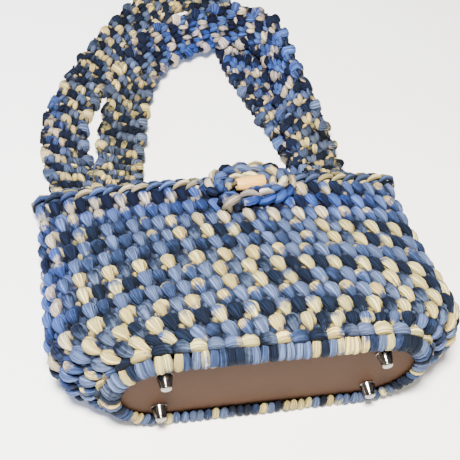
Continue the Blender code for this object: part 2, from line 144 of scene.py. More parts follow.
sky = bpy.data.worlds.new("sky")
bpy.context.scene.world = sky
sky.use_nodes = True
sky.node_tree.nodes["Background"].inputs["Color"].default_value = (1.0, 1.0, 1.0, 1.0)
sky.node_tree.nodes["Background"].inputs["Strength"].default_value = SKY_STRENGTH
for name, place, size, power, colour in LAMPS:
    light = bpy.data.lights.new(name, "AREA")
    light.size, light.energy, light.color = size, power, colour
    lamp = placed(name, light)
    lamp.location = place
    lamp.rotation_euler = (Vector(LAMP_AIM) - Vector(place)).to_track_quat("-Z", "Y").to_euler()
print("floor, sky and three lamps are up")

# %% [markdown]
# ## The wall as a surface
# The wall runs from the base edging to the rim. Each section across the purse is a slot with round
# ends whose long sides bulge, most of it in front because the purse lies on its back. A table
# gives a row for each section, a smooth curve runs through the rows, and the surface is measured
# so that stitches laid evenly in it keep one size.

# %% Named sizes of the wall and a smooth table
EDGING_REACH = 0.0085
EDGING_TOP = 0.008
WALL = 0.0085
RIM_HALF_WIDTH = 0.1660
RIM_DEPTH = 0.0275
RIM_END_RADIUS = 0.0062
FRONT_SHARE = 0.65
BRAID_OFFSET = 0.0050
WALL_SECTIONS = (
    # height, flare, narrowing, tightening, lift
    (0.063, 0.36, -0.02, 0.00, 0.00),
    (0.088, 0.62, -0.03, 0.05, 0.00),
    (0.130, 0.84, -0.04, 0.14, 0.00),
    (0.190, 0.95, -0.01, 0.24, 0.00),
    (0.280, 0.99, 0.10, 0.36, 0.00),
    (0.420, 0.98, 0.28, 0.52, 0.00),
    (0.580, 0.96, 0.50, 0.68, 0.05),
    (0.740, 0.96, 0.71, 0.82, 0.20),
    (0.880, 0.98, 0.88, 0.93, 0.60),
    (1.000, 1.00, 1.00, 1.00, 1.00),
)
base_half_length = BOARD_LENGTH / 2 + EDGING_REACH - WALL / 2
base_depth = BOARD_DEPTH + 2 * EDGING_REACH - WALL
rim_lift = BRAID_OFFSET + BRAID_RADIUS - WALL / 2


def smooth_rows(rows, steps):
    """A Catmull-Rom curve through the rows: each span blends its four nearest rows by a cubic."""
    rows = np.asarray(rows, float)
    ends = np.vstack([2 * rows[0] - rows[1], rows, 2 * rows[-1] - rows[-2]])
    t = np.linspace(0, 1, steps, endpoint=False)[None, :, None]
    a, b, c, d = (ends[k : len(ends) - 3 + k, None, :] for k in range(4))
    span = 2 * b + (c - a) * t + (2 * a - 5 * b + 4 * c - d) * t**2 + (3 * b - 3 * c + d - a) * t**3
    return np.vstack([span.reshape(-1, rows.shape[1]) / 2, rows[-1:]])


def wall_rows():
    """Every section's place along y, half length, depth, end radius and lift, in metres."""
    table = np.array(WALL_SECTIONS)
    rows = np.stack(
        [
            table[:, 0] * PURSE_HEIGHT,
            base_half_length + table[:, 1] * (RIM_HALF_WIDTH - base_half_length),
            base_depth + table[:, 2] * (RIM_DEPTH - base_depth),
            base_depth / 2 + table[:, 3] * (RIM_END_RADIUS - base_depth / 2),
            table[:, 4],
        ],
        axis=1,
    )
    first = [EDGING_TOP, base_half_length, base_depth, base_depth / 2, 0.0]
    return smooth_rows(np.vstack([first, rows]), 16)


print("sections of the wall:", len(wall_rows()))


# %% The wall's surface, measured evenly
def stadium(half_length, radius, count):
    """A slot with round ends from its +X end towards +Z: a quarter turn, a straight run, and the
    same mirrored into the other three quarters."""
    straight = half_length - radius
    quarter = math.pi / 2 * radius
    side_length = straight + quarter
    at = np.arange(count)[None, :] / count * 4 * side_length
    side = np.minimum(np.floor(at / side_length), 3)
    along = at - side * side_length
    along = np.where(side % 2 == 1, side_length - along, along)
    angle = np.clip(along / radius, 0, math.pi / 2)
    run = np.clip(along - quarter, 0, straight)
    sign_x = np.where((side == 1) | (side == 2), -1.0, 1.0)
    sign_z = np.where(side >= 2, -1.0, 1.0)
    return sign_x * (straight - run + radius * np.cos(angle)), sign_z * radius * np.sin(angle)


def between(at, *grids, closed=True):
    """Rows of grids at places between whole numbers. A closed grid starts again after its end."""
    count = len(grids[0])
    low = np.floor(at).astype(int)
    part = (at - low)[..., None]
    high = (low + 1) % count if closed else np.minimum(low + 1, count - 1)
    return [grid[low % count] * (1 - part) + grid[high] * part for grid in grids]


def bulge(x, straight, slack):
    """How far both long sides are pushed out: the slack times 1 - |x / straight| ** 2.5."""
    return np.clip(1 - np.abs(x / straight) ** 2.5, 0, None) * slack


def centre_height(lift, radius, slack):
    """Height of a section's middle line, whose bulge lies mostly in front."""
    return WALL / 2 + lift * rim_lift + radius + (1 - FRONT_SHARE) * slack


def wall_points(count):
    """Middle of the wall, one row of points for each section."""
    y, half_length, depth, radius, lift = wall_rows().T[:, :, None]
    x, z = stadium(half_length, radius, count)
    slack = depth - 2 * radius
    share = np.where(z >= 0, FRONT_SHARE, 1 - FRONT_SHARE)
    out = np.sign(z) * bulge(x, half_length - radius, slack) * share
    return np.stack([x, y + 0 * x, centre_height(lift, radius, slack) + z + out], axis=-1)


class Surface:
    """A grid of points with outward normals, read anywhere by its two shares.

    Across runs once round the surface from 0 to 1 and repeats. Along runs from 0 to 1.
    """

    def __init__(self, points, rows):
        steps = np.linalg.norm(np.diff(points, axis=0), axis=-1)
        length = np.vstack([np.zeros(points.shape[1]), np.cumsum(steps, axis=0)])
        share = length / length[-1]
        even = np.linspace(0, 1, rows)
        low = np.stack([np.searchsorted(column, even, "right") - 1 for column in share.T], 1)
        low = np.clip(low, 0, len(share) - 2)
        column = np.arange(points.shape[1])[None, :]
        part = (even[:, None] - share[low, column]) / (share[low + 1, column] - share[low, column])
        step = points[low + 1, column] - points[low, column]
        self.points = points[low, column] + part[..., None] * step
        around = np.roll(self.points, -1, axis=1) - np.roll(self.points, 1, axis=1)
        along = np.gradient(self.points, axis=0)
        normal = np.cross(around, along)
        middle = self.points.mean(axis=1, keepdims=True)
        normal *= np.sign((normal * (self.points - middle)).sum())
        self.normals = normal / np.linalg.norm(normal, axis=-1)[..., None]
        self.length = length[-1].mean()

    def read(self, across, along):
        """Place and normal at shares of the surface, blended between the four nearest points."""
        rows, columns = self.points.shape[:2]
        i = np.clip(along, 0, 1) * (rows - 1)
        j = np.mod(across, 1.0) * columns
        i0 = np.clip(np.floor(i).astype(int), 0, rows - 2)
        j0 = np.floor(j).astype(int) % columns
        j1 = (j0 + 1) % columns
        s, t = (i - i0)[..., None], (j - np.floor(j))[..., None]
        values = []
        for grid in (self.points, self.normals):
            near = grid[i0, j0] * (1 - t) + grid[i0, j1] * t
            far = grid[i0 + 1, j0] * (1 - t) + grid[i0 + 1, j1] * t
            values.append(near * (1 - s) + far * s)
        place, normal = values
        step = (self.points[-1, j0] - self.points[-2, j0]) * (rows - 1)
        back_step = (self.points[1, j0] - self.points[0, j0]) * (rows - 1)
        place = place + np.clip(along - 1, 0, None)[..., None] * step
        place = place + np.clip(along, None, 0)[..., None] * back_step
        return place, normal / np.linalg.norm(normal, axis=-1)[..., None]


wall = Surface(wall_points(720), 180)
print("wall length:", round(wall.length, 4), "normals outwards:", wall.normals[60, 180, 2] > 0)

# %% [markdown]
# ## One strand of yarn
# A stitch is a few short strands. Each is a spindle: an ellipse carried along a path, wide in the
# middle and closed to a point at both ends. A small table says how a strand runs in its own cell
# of the surface: right, up and outward, and how wide and thick it is there. Yarn that would pass
# through the table is flattened on it.


# %% Strands as spindles
def motif(rows, stations, bluntness=4.0):
    """Stations of one strand from a table of right, up, out, half width and half thickness.

    With t from 0 to 1 along the strand, both halves are scaled by the square root of
    1 - |2t - 1| ** bluntness, which rounds the ends off. First and last stations are the tips.
    """
    dense = smooth_rows(rows, 12)
    share = np.linspace(0, 1, len(dense))
    t = 0.5 - 0.5 * np.cos(np.pi * (np.arange(stations) + 0.5) / stations)
    t = np.concatenate([[0.0], t, [1.0]])
    values = np.stack([np.interp(t, share, column) for column in dense.T], axis=1)
    values[:, 3:5] *= np.sqrt(np.clip(1 - np.abs(2 * t - 1) ** bluntness, 0, 1))[:, None]
    return t, values


def mirrored(table, about=0.5):
    """The same strand slanting the other way."""
    return tuple((2 * about - row[0], *row[1:]) for row in table)


def unit(vectors):
    """Vectors scaled to length one."""
    return vectors / np.maximum(np.linalg.norm(vectors, axis=-1), 1e-12)[..., None]


def spindles(centres, normals, half_width, half_thickness, ring):
    """Points and faces of many spindles along centres of shape (strands, stations, 3).

    A point of a ring is centre + side * half_width * cos(angle) + up * half_thickness * sin(angle),
    with side across the strand and up away from the surface. Angles start underneath.
    """
    tangent = unit(np.gradient(centres, axis=1))
    side = unit(np.cross(tangent, normals))
    up = np.cross(side, tangent)
    angle = 2 * np.pi * np.arange(ring) / ring - np.pi / 2
    across = side[:, 1:-1, None] * (half_width[:, 1:-1, None] * np.cos(angle))[..., None]
    above = up[:, 1:-1, None] * (half_thickness[:, 1:-1, None] * np.sin(angle))[..., None]
    rings = centres[:, 1:-1, None] + across + above
    strands, stations = rings.shape[:2]
    tips = centres[:, [0, -1]]
    points = np.concatenate([rings.reshape(strands, -1, 3), tips], axis=1)
    k, j = np.meshgrid(np.arange(stations - 1), np.arange(ring), indexing="ij")
    turn = (j + 1) % ring
    corners = [k * ring + j, (k + 1) * ring + j, (k + 1) * ring + turn, k * ring + turn]
    quads = np.stack(corners, axis=-1).reshape(-1, 4)
    j = np.arange(ring)
    turn = (j + 1) % ring
    last = (stations - 1) * ring
    first_tip = np.full(ring, stations * ring)
    first_faces = np.stack([first_tip, j, turn], 1)
    last_faces = np.stack([first_tip + 1, last + turn, last + j], 1)
    return points, quads, np.vstack([first_faces, last_faces])


def at_points(values, ring):
    """A value of every station at each of its points: inner rings first, then the two tips."""
    return np.hstack([np.repeat(values[:, 1:-1], ring, axis=1), values[:, [0, -1]]])


print("a test strand has", len(motif(((0, 0, 0, 1, 1), (0, 1, 0, 1, 1)), 10)[0]), "stations")

# %% Places of painted blue daylight, and the table
# Where blue daylight is painted onto the yarn
PAINTED_DAYLIGHT_PLACES = (
    # x and y in the purse's frame, reach along x and along y, amount
    (-0.08, 0.192, 0.10, 0.020, 0.75),
    (0.05, 0.176, 0.10, 0.022, 0.85),
    (0.02, 0.410, 0.075, 0.045, 1.00),
    (0.09, 0.370, 0.030, 0.060, 0.80),
    (-0.165, 0.110, 0.018, 0.110, 0.75),
    (-0.150, 0.330, 0.014, 0.080, 0.60),
    (-0.115, 0.300, 0.010, 0.080, 0.25),
    (0.075, 0.270, 0.014, 0.050, 0.55),
)
SETTLE = 0.0015


def painted_daylight_amount(points):
    """Painted blue daylight: the largest amount * exp(-(distance / reach) ** 2) over its places."""
    amounts = [
        amount * np.exp(-(((points[:, 0] - x) / wide) ** 2) - ((points[:, 1] - y) / tall) ** 2)
        for x, y, wide, tall, amount in PAINTED_DAYLIGHT_PLACES
    ]
    return np.max(amounts, axis=0)


def settled(points):
    """Yarn near the table flattens: below the settling height h, z becomes h * exp(z / h - 1)."""
    z = points[:, 2]
    low = SETTLE * np.exp(np.minimum(z, SETTLE) / SETTLE - 1)
    return np.column_stack([points[:, :2], np.where(z < SETTLE, low, z)])


print("cool places:", len(PAINTED_DAYLIGHT_PLACES))

# %% Yarn that becomes a mesh
# Painted shade between the stitches fades out as a strand stands out towards this height
DEEP = 0.0050


def show(mesh, material, nodes):
    """The mesh as an object of the purse, standing for its nodes."""
    mesh.materials.append(material)
    obj = placed(mesh.name, mesh)
    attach(obj, "root")
    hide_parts(*nodes)
    return obj


class Yarn:
    """Collects strands, then becomes one mesh with facts for its material at each point.

    Grain is the place along and around the strand, dye the place in the dye's repeat, open how
    far the point stands out of the fabric, which sets its painted shade, and cool how much blue
    daylight is painted on it.
    """

    def __init__(self, name):
        self.name, self.total = name, 0
        self.points, self.loops, self.counts = [], [], []
        self.facts = {"grain": [], "dye": [], "open": []}

    def add(self, centres, normals, half_width, half_thickness, dye, ring=10, lift=0.0):
        """Strands of shape (strands, stations), with the dye's position at each station."""
        points, quads, tips = spindles(centres, normals, half_width, half_thickness, ring)
        strands, per_strand = points.shape[:2]
        start = self.total + np.arange(strands)[:, None, None] * per_strand
        self.points.append(points.reshape(-1, 3))
        self.loops += [(quads[None] + start).reshape(-1), (tips[None] + start).reshape(-1)]
        self.counts += [np.full(strands * len(quads), 4), np.full(strands * len(tips), 3)]
        self.total += strands * per_strand
        lift = np.broadcast_to(lift, centres.shape[:2])
        rise = np.sin(2 * np.pi * np.arange(ring) / ring - np.pi / 2)
        rings = (lift[:, 1:-1, None] + half_thickness[:, 1:-1, None] * rise).reshape(strands, -1)
        stand = np.hstack([rings, lift[:, [0, -1]]])
        lengths = np.linalg.norm(np.diff(centres, axis=1), axis=-1)
        along = np.hstack([np.zeros((strands, 1)), np.cumsum(lengths, axis=1)])
        turn = np.abs(2 * np.arange(ring) / ring - 1)
        around = np.hstack([np.tile(turn, (strands, centres.shape[1] - 2)), np.full((strands, 2), 0.5)])
        own = np.arange(strands)[:, None] * 0.37 + len(self.points) * 5.1
        grain = np.stack([at_points(along + own, ring), around + own, np.tile(own, per_strand)], -1)
        self.facts["grain"].append(grain.reshape(-1, 3))
        self.facts["dye"].append(at_points(dye, ring).reshape(-1))
        self.facts["open"].append(np.clip(stand / DEEP, 0, 1).reshape(-1))

    def build(self, material, *nodes):
        """One object with all the strands, carrying its facts, in the model's frame."""
        points = settled(np.concatenate(self.points) + SHIFT)
        loops, counts = np.concatenate(self.loops), np.concatenate(self.counts)
        mesh = bpy.data.meshes.new(self.name)
        mesh.vertices.add(len(points))
        mesh.vertices.foreach_set("co", points.astype(np.float32).ravel())
        mesh.loops.add(len(loops))
        mesh.loops.foreach_set("vertex_index", loops.astype(np.int32))
        mesh.polygons.add(len(counts))
        mesh.polygons.foreach_set("loop_start", (np.cumsum(counts) - counts).astype(np.int32))
        mesh.update(calc_edges=True)
        facts = {fact: np.concatenate(values) for fact, values in self.facts.items()}
        # Blue daylight, painted on by the point's place on the purse
        facts["cool"] = painted_daylight_amount(points - SHIFT)
        for fact, values in facts.items():
            kind, field = ("FLOAT_VECTOR", "vector") if fact == "grain" else ("FLOAT", "value")
            data = mesh.attributes.new(fact, kind, "POINT").data
            data.foreach_set(field, values.astype(np.float32).ravel())
        mesh.shade_smooth()
        obj = show(mesh, material, nodes)
        print(self.name, "has", int((counts - 2).sum()), "triangles")


# %% [markdown]
# ## Dyed yarn
# The yarn is space-dyed: its colour changes along its length and repeats about every two
# stitches. Two ramps of the dye's colours are read at the point's place along the yarn, one for
# warm light and one for blue daylight, and how much blue daylight is painted on a point blends
# them. Lengthwise folds are noise stretched along each strand, with painted shade in their
# creases. Painted shade also darkens a strand where it sinks between its neighbours.
# What several materials share is a node group, built once: the dye's share of its repeat, the
# folds with their painted shade, the painted daylight and the grain of a plain surface.


# %% The dye's colours
def linear(*srgb):
    """Linear light from sRGB values of 0 to 255."""
    value = np.array(srgb, float) / 255
    low, high = value / 12.92, ((value + 0.055) / 1.055) ** 2.4
    return (*np.where(value <= 0.04045, low, high).tolist(), 1.0)


DYE = (
    # share of the repeat, sRGB colour in warm light and where blue daylight falls
    (0.00, (118, 137, 180), (72, 114, 210)),
    (0.27, (96, 118, 170), (50, 94, 198)),
    (0.33, (255, 240, 168), (230, 220, 226)),
    (0.53, (255, 226, 144), (220, 210, 222)),
    (0.57, (76, 99, 150), (40, 80, 178)),
    (0.66, (54, 73, 114), (32, 62, 146)),
    (0.71, (24, 38, 64), (16, 28, 68)),
    (0.90, (18, 30, 52), (14, 22, 56)),
    (0.94, (66, 80, 108), (50, 74, 132)),
    (0.98, (104, 122, 158), (72, 106, 184)),
)
STRAP_DYE = (
    (0.00, (108, 119, 140), (64, 108, 208)),
    (0.18, (77, 88, 108), (48, 86, 180)),
    (0.26, (26, 38, 62), (16, 28, 70)),
    (0.50, (16, 24, 40), (12, 20, 54)),
    (0.58, (255, 232, 150), (232, 220, 220)),
    (0.77, (255, 220, 136), (222, 208, 214)),
    (0.82, (69, 81, 101), (50, 84, 176)),
    (0.94, (110, 124, 152), (84, 128, 220)),
)
print("the dye has", len(DYE), "colours in its repeat, and", len(STRAP_DYE), "on the straps")


# %% Nodes and node groups
def feed(tree, node, inlets):
    """Feeds a node's inlets, named or numbered, by sockets or by values."""
    for inlet, value in inlets.items():
        if isinstance(value, bpy.types.NodeSocket):
            tree.links.new(value, node.inputs[inlet])
        else:
            node.inputs[inlet].default_value = value


def add(tree, kind, outlet, inlets, **settings):
    """A new node: the socket of its outlet, or all its outlets where none is named."""
    node = tree.nodes.new("ShaderNode" + kind)
    for setting, value in settings.items():
        setattr(node, setting, value)
    feed(tree, node, inlets)
    return node.outputs if outlet is None else node.outputs[outlet]


def math_of(tree, operation, *values):
    """One step of arithmetic."""
    return add(tree, "Math", "Value", dict(enumerate(values)), operation=operation)


def noise_of(tree, source, scale, detail, stretch):
    """Noise of a vector that is first stretched."""
    stretched = add(tree, "Mapping", "Vector", {"Vector": source, "Scale": stretch})
    return add(tree, "TexNoise", "Fac", {"Vector": stretched, "Scale": scale, "Detail": detail})


def mix_of(tree, share, first, second):
    """Two colours blended by a share."""
    return add(tree, "Mix", "Result", {"Factor": share, "A": first, "B": second}, data_type="RGBA")


def bump_of(tree, height, strength, distance):
    """The normal of a surface with that height."""
    return add(tree, "Bump", "Normal", {"Height": height, "Strength": strength, "Distance": distance})


def ramp_of(tree, at, shares, colours):
    """The given colours at the given shares, blended between them."""
    node = tree.nodes.new("ShaderNodeValToRGB")
    elements = node.color_ramp.elements
    while len(elements) < len(shares):
        elements.new(1.0)
    for element, share, colour in zip(elements, shares, colours):
        element.position = share
        element.color = colour
    feed(tree, node, {"Fac": at})
    return node.outputs["Color"]


def new_group(name, inputs, outputs):
    """An empty node group with named sockets: the group, its given sockets and its last node."""
    group = bpy.data.node_groups.new(name, "ShaderNodeTree")
    for way, sockets in (("INPUT", inputs), ("OUTPUT", outputs)):
        for label, kind in sockets.items():
            group.interface.new_socket(label, in_out=way, socket_type="NodeSocket" + kind)
    return group, group.nodes.new("NodeGroupInput").outputs, group.nodes.new("NodeGroupOutput")


def dye_group():
    """Share of the dye's repeat: the dye's position, wandering a little over the object."""
    group, given, made = new_group("dye_share", {"Place": "Vector", "Position": "Float"}, {"Share": "Float"})
    wander = noise_of(group, given["Place"], 220.0, 3.0, (1, 1, 1))
    shift = math_of(group, "MULTIPLY_ADD", wander, 0.14, -0.07)
    feed(group, made, {"Share": math_of(group, "FRACT", math_of(group, "ADD", given["Position"], shift))})
    return group


def folds_and_shade_group():
    """Folds along a strand, as a shade for its colour and as a height.

    The shade is painted: it is darker in the creases of the folds and falls off where the strand
    sinks between its neighbours.
    """
    inputs = {"Grain": "Vector", "Open": "Float", "Brightness": "Float"}
    group, given, made = new_group("yarn_folds_and_shade", inputs, {"Shade": "Float", "Height": "Float"})
    waves = noise_of(group, given["Grain"], 1.0, 1.5, (30.0, 6.0, 9.0))
    centred = math_of(group, "MULTIPLY_ADD", waves, 6.0, -3.0)
    folds = math_of(group, "MINIMUM", math_of(group, "ABSOLUTE", centred), 1.0)
    fibres = noise_of(group, given["Grain"], 1.0, 2.0, (260.0, 30.0, 9.0))
    height = math_of(group, "MULTIPLY_ADD", fibres, 0.35, folds)
    # Painted shade: the creases of the folds are darker
    crease_shade = math_of(group, "MULTIPLY_ADD", folds, 0.66, 0.38)
    bright = math_of(group, "MULTIPLY", crease_shade, given["Brightness"])
    # Painted shade: a strand darkens where it sinks between its neighbours
    lit = math_of(group, "MULTIPLY_ADD", math_of(group, "POWER", given["Open"], 1.4), 0.96, 0.04)
    feed(group, made, {"Shade": math_of(group, "MULTIPLY", bright, lit), "Height": height})
    return group


def daylight_group():
    """A dye's colour in warm and in cool light, blended and then scaled by the shade."""
    inputs = {"Warm": "Color", "Cool": "Color", "Coolness": "Float", "Shade": "Float"}
    group, given, made = new_group("daylight", inputs, {"Color": "Color"})
    mixed = mix_of(group, given["Coolness"], given["Warm"], given["Cool"])
    shaded = add(group, "VectorMath", "Vector", {0: mixed, "Scale": given["Shade"]}, operation="SCALE")
    feed(group, made, {"Color": shaded})
    return group


def grain_group():
    """Grain of stretched noise between a dark and a pale colour, with roughness and height."""
    inputs = {"Place": "Vector", "Stretch": "Vector", "Dark": "Color", "Pale": "Color", "Smoothest": "Float"}
    outputs = {"Color": "Color", "Roughness": "Float", "Height": "Float"}
    group, given, made = new_group("surface_grain", inputs, outputs)
    fine = noise_of(group, given["Place"], 1.0, 3.0, given["Stretch"])
    broad = math_of(group, "MULTIPLY", noise_of(group, given["Place"], 28.0, 2.0, (1, 1, 1)), 0.25)
    share = math_of(group, "MULTIPLY_ADD", fine, 0.75, broad)
    spread = add(group, "MapRange", "Result", {"Value": share, "From Min": 0.36, "From Max": 0.64})
    rough = math_of(group, "MULTIPLY_ADD", fine, 0.16, given["Smoothest"])
    colour = mix_of(group, spread, given["Dark"], given["Pale"])
    feed(group, made, {"Color": colour, "Roughness": rough, "Height": fine})
    return group


DYE_SHARE, YARN_FOLDS_AND_SHADE, DAYLIGHT, SURFACE_GRAIN = dye_group(), folds_and_shade_group(), daylight_group(), grain_group()
print("node groups:", [group.name for group in (DYE_SHARE, YARN_FOLDS_AND_SHADE, DAYLIGHT, SURFACE_GRAIN)])


# %% Materials
def start_material(name):
    """A new material, its node tree and its place in the object."""
    material = bpy.data.materials.new(name)
    material.use_nodes = True
    tree = material.node_tree
    return material, tree, add(tree, "TexCoord", "Object", {})


def yarn_material(name, dye, brightness):
    """Soft yarn whose colour comes from the dye's table at its place along the yarn, darkened by
    painted shade and blended with painted blue daylight.
    """
    material, tree, place = start_material(name)
    # open sets the painted shade, and cool the painted blue daylight
    dyed, stand, cool = (add(tree, "Attribute", "Fac", {}, attribute_name=a) for a in ("dye", "open", "cool"))
    grain = add(tree, "Attribute", "Vector", {}, attribute_name="grain")
    share = add(tree, "Group", "Share", {"Place": place, "Position": dyed}, node_tree=DYE_SHARE)
    inlets = {"Grain": grain, "Open": stand, "Brightness": brightness}
    folds = add(tree, "Group", None, inlets, node_tree=YARN_FOLDS_AND_SHADE)
    shares, *colours = zip(*dye)
    colours = ([linear(*colour) for colour in row] for row in colours)
    warm_colour, cool_colour = (ramp_of(tree, share, shares, row) for row in colours)
    inlets = {"Warm": warm_colour, "Cool": cool_colour, "Coolness": cool, "Shade": folds["Shade"]}
    looks = {
        "Base Color": add(tree, "Group", "Color", inlets, node_tree=DAYLIGHT),
        "Roughness": 0.8,
        "Specular IOR Level": 0.14,
        "Normal": bump_of(tree, folds["Height"], 0.9, 0.0012),
    }
    feed(tree, tree.nodes["Principled BSDF"], looks)
    return material


def grain_material(name, dark, pale, stretch, roughness, depth, metallic=0.0, specular=0.3):
    """A material of two colours whose grain also stands up by the depth."""
    material, tree, place = start_material(name)
    inlets = {"Place": place, "Stretch": stretch, "Dark": dark, "Pale": pale, "Smoothest": roughness - 0.08}
    grain = add(tree, "Group", None, inlets, node_tree=SURFACE_GRAIN)
    looks = {
        "Base Color": grain["Color"],
        "Roughness": grain["Roughness"],
        "Metallic": metallic,
        "Specular IOR Level": specular,
        "Normal": bump_of(tree, grain["Height"], 0.6, depth),
    }
    feed(tree, tree.nodes["Principled BSDF"], looks)
    return material


BRIGHTNESS = 0.70
# Both yarn materials carry painted shade and painted blue daylight over their dye
dyed_yarn = yarn_material("dyed_yarn", DYE, BRIGHTNESS)
strap_yarn = yarn_material("strap_yarn", STRAP_DYE, BRIGHTNESS)
shadow_colours = linear(14, 18, 30), linear(32, 40, 62)
shadow_yarn = grain_material("shadow_yarn", *shadow_colours, (160, 260, 160), 0.9, 0.0006)
print("yarn materials are ready")

# %% [markdown]
# ## The body's rounds
# The wall has eleven rounds of sixty stitches, and the lowest rounds are a little shorter. In each
# cell a broad drop-shaped lobe hangs to the right between the tops of the round below, a crescent
# shows behind its top, and a small bump fills the corner. Each round is shifted against the one
# above it, so that the stitches line up on a slant. A dark sleeve inside the wall closes the gaps
# between them with painted shade.

# %% The body's stitches
rng = np.random.default_rng(11)
ROUNDS = 11
STITCHES = 60
ROUND_SHIFT = 0.35
# Rounds from the base, and the share of the wall's height where each of them starts
ROUND_STARTS = (0, 1, 2, 3, ROUNDS)
ROUND_SHARES = (0.02, 0.085, 0.155, 0.24, 1.0)
DYE_STEP = 0.485
LOBE = (
    # right (stitches), up (rounds), out (mm), half width and half thickness (share of the pitch)
    (0.24, 1.06, -0.4, 0.26, 0.20),
    (0.32, 0.88, 2.6, 0.42, 0.34),
    (0.42, 0.58, 3.8, 0.42, 0.38),
    (0.58, 0.24, 2.2, 0.25, 0.28),
    (0.74, -0.10, -1.4, 0.07, 0.12),
)
CAP = (
    (0.02, 0.86, -0.8, 0.14, 0.14),
    (0.28, 1.04, 1.8, 0.20, 0.19),
    (0.60, 0.98, 2.8, 0.23, 0.21),
    (0.86, 0.72, 2.2, 0.21, 0.19),
    (1.00, 0.40, -0.6, 0.12, 0.13),
)
BUMP = (
    (1.04, 0.46, -0.8, 0.13, 0.13),
    (1.09, 0.34, 1.5, 0.19, 0.18),
    (1.13, 0.18, 1.2, 0.19, 0.18),
    (1.15, 0.02, -1.8, 0.13, 0.13),
)
print(ROUNDS, "rounds of", STITCHES, "stitches")


# %% Laying stitches on a surface
# How far strands vary: right and up (shares of a cell), out (mm), width and thickness (shares)
SWAY = (0.035, 0.03, 0.35, 0.06, 0.05)


def lay(yarn, surface, columns, total, shift, table, stations, ring, dye, rows=None, side=1.0):
    """Lays one motif in each cell of a surface.

    A cell is 1 / columns of the way round, and 1 / total of the length, or on the wall the share
    between two of its rounds. Its place to the right is column + right + shift * (rounds above),
    counted against the surface's own direction.
    """
    t, station = motif(table, stations)
    rows = np.arange(total) if rows is None else rows
    row, column = np.meshgrid(rows, np.arange(columns), indexing="ij")
    row, column = row.reshape(-1, 1), column.reshape(-1, 1)
    sway = rng.normal(0, 1, (len(row), 5)) * SWAY
    right = station[:, 0] + sway[:, [0]]
    up = station[:, 1] + sway[:, [1]]
    across = -(column + right + shift * (total - 1 - row)) / columns
    along = np.interp(row + up, ROUND_STARTS, ROUND_SHARES) if surface is wall else (row + up) / total
    place, normal = surface.read(across, along)
    half_cell = 0.5 / columns
    reach = surface.read(across + half_cell, along)[0] - surface.read(across - half_cell, along)[0]
    reach = np.linalg.norm(reach, axis=-1)
    lift = (station[:, 2] + sway[:, [2]]) / 1000
    centres = place + normal * (lift * side)[..., None]
    width = station[:, 3] * reach * (1 + sway[:, [3]])
    thickness = station[:, 4] * reach * (1 + sway[:, [4]])
    yarn.add(centres, normal * side, width, thickness, dye(row, column, t), ring, lift)


def body_dye(offset, span):
    """Dye position: a stitch takes DYE_STEP of the repeat, and a strand spans part of it."""

    def position(row, column, t):
        slow = 0.25 * np.sin(column * 0.13 + (row - 1) * 1.7)
        return (row * STITCHES + column) * DYE_STEP + slow + row * 0.29 + offset + span * t

    return position


BODY_STRANDS = (
    # table, stations, ring, dye offset, dye span
    (LOBE, 10, 10, 0.61, 0.22),
    (CAP, 8, 8, 0.68, 0.14),
    (BUMP, 5, 8, 0.23, 0.15),
)
for part, rows in (("lower", np.arange(5)), ("upper", np.arange(5, ROUNDS))):
    piece = Yarn("body_rounds_" + part)
    for table, stations, ring, offset, span in BODY_STRANDS:
        dye = body_dye(offset, span)
        lay(piece, wall, STITCHES, ROUNDS, ROUND_SHIFT, table, stations, ring, dye, rows)
    piece.build(dyed_yarn, "body_front", "body_back")

# %% The body's inner face
INNER_LOBE = (
    (0.00, 0.95, 1.4, 0.20, 0.16),
    (0.15, 0.55, 3.2, 0.42, 0.20),
    (0.30, 0.05, 1.4, 0.20, 0.16),
)
INNER_BAR = (
    (0.20, 0.92, 1.8, 0.16, 0.14),
    (0.70, 0.98, 3.4, 0.19, 0.17),
    (1.20, 0.90, 1.8, 0.16, 0.14),
)
piece = Yarn("body_inside")
for table, offset in ((INNER_LOBE, 0.1), (INNER_BAR, 0.5)):
    lay(piece, wall, STITCHES, ROUNDS, ROUND_SHIFT, table, 5, 7, body_dye(offset, 0.3), side=-1.0)
piece.build(dyed_yarn, "body_front", "body_back")


# %% Closed skins
SHARP = math.radians(50)
SHADE_SLEEVE_HALF = 0.0012


def skin_object(name, rings, material, nodes, close_length=False):
    """One closed skin through rings of equal counts, with the first and last ring filled or met."""
    count, around = rings.shape[:2]
    spans = count if close_length else count - 1
    k, j = np.meshgrid(np.arange(spans), np.arange(around), indexing="ij")
    near, far, turn = k * around, (k + 1) % count * around, (j + 1) % around
    faces = np.stack([near + j, near + turn, far + turn, far + j], axis=-1).reshape(-1, 4).tolist()
    points = rings.reshape(-1, 3)
    if not close_length:
        tips = [rings[0].mean(axis=0), rings[-1].mean(axis=0)]
        first, last = len(points), (count - 1) * around
        points = np.vstack([points, tips])
        faces += [[first, (n + 1) % around, n] for n in range(around)]
        faces += [[first + 1, last + n, last + (n + 1) % around] for n in range(around)]
    mesh = bpy.data.meshes.new(name)
    mesh.from_pydata((points + SHIFT).tolist(), [], faces)
    corners = (points[np.array(face[:3])] for face in faces)
    volume = sum(np.dot(a, np.cross(b, c)) for a, b, c in corners)
    if volume < 0:
        mesh.flip_normals()
    mesh.shade_smooth()
    mesh.set_sharp_from_angle(angle=SHARP)
    print(name, "has", len(faces), "faces")
    obj = show(mesh, material, nodes)
    return obj


def sleeve(surface, half, rows, columns):
    """A thin closed sleeve about a surface: its outer side up, then its inner side down."""
    along, across = np.meshgrid(np.linspace(0, 1, rows), np.arange(columns) / columns, indexing="ij")
    place, normal = surface.read(across, along)
    return np.vstack([place + normal * half, (place - normal * half)[::-1]])


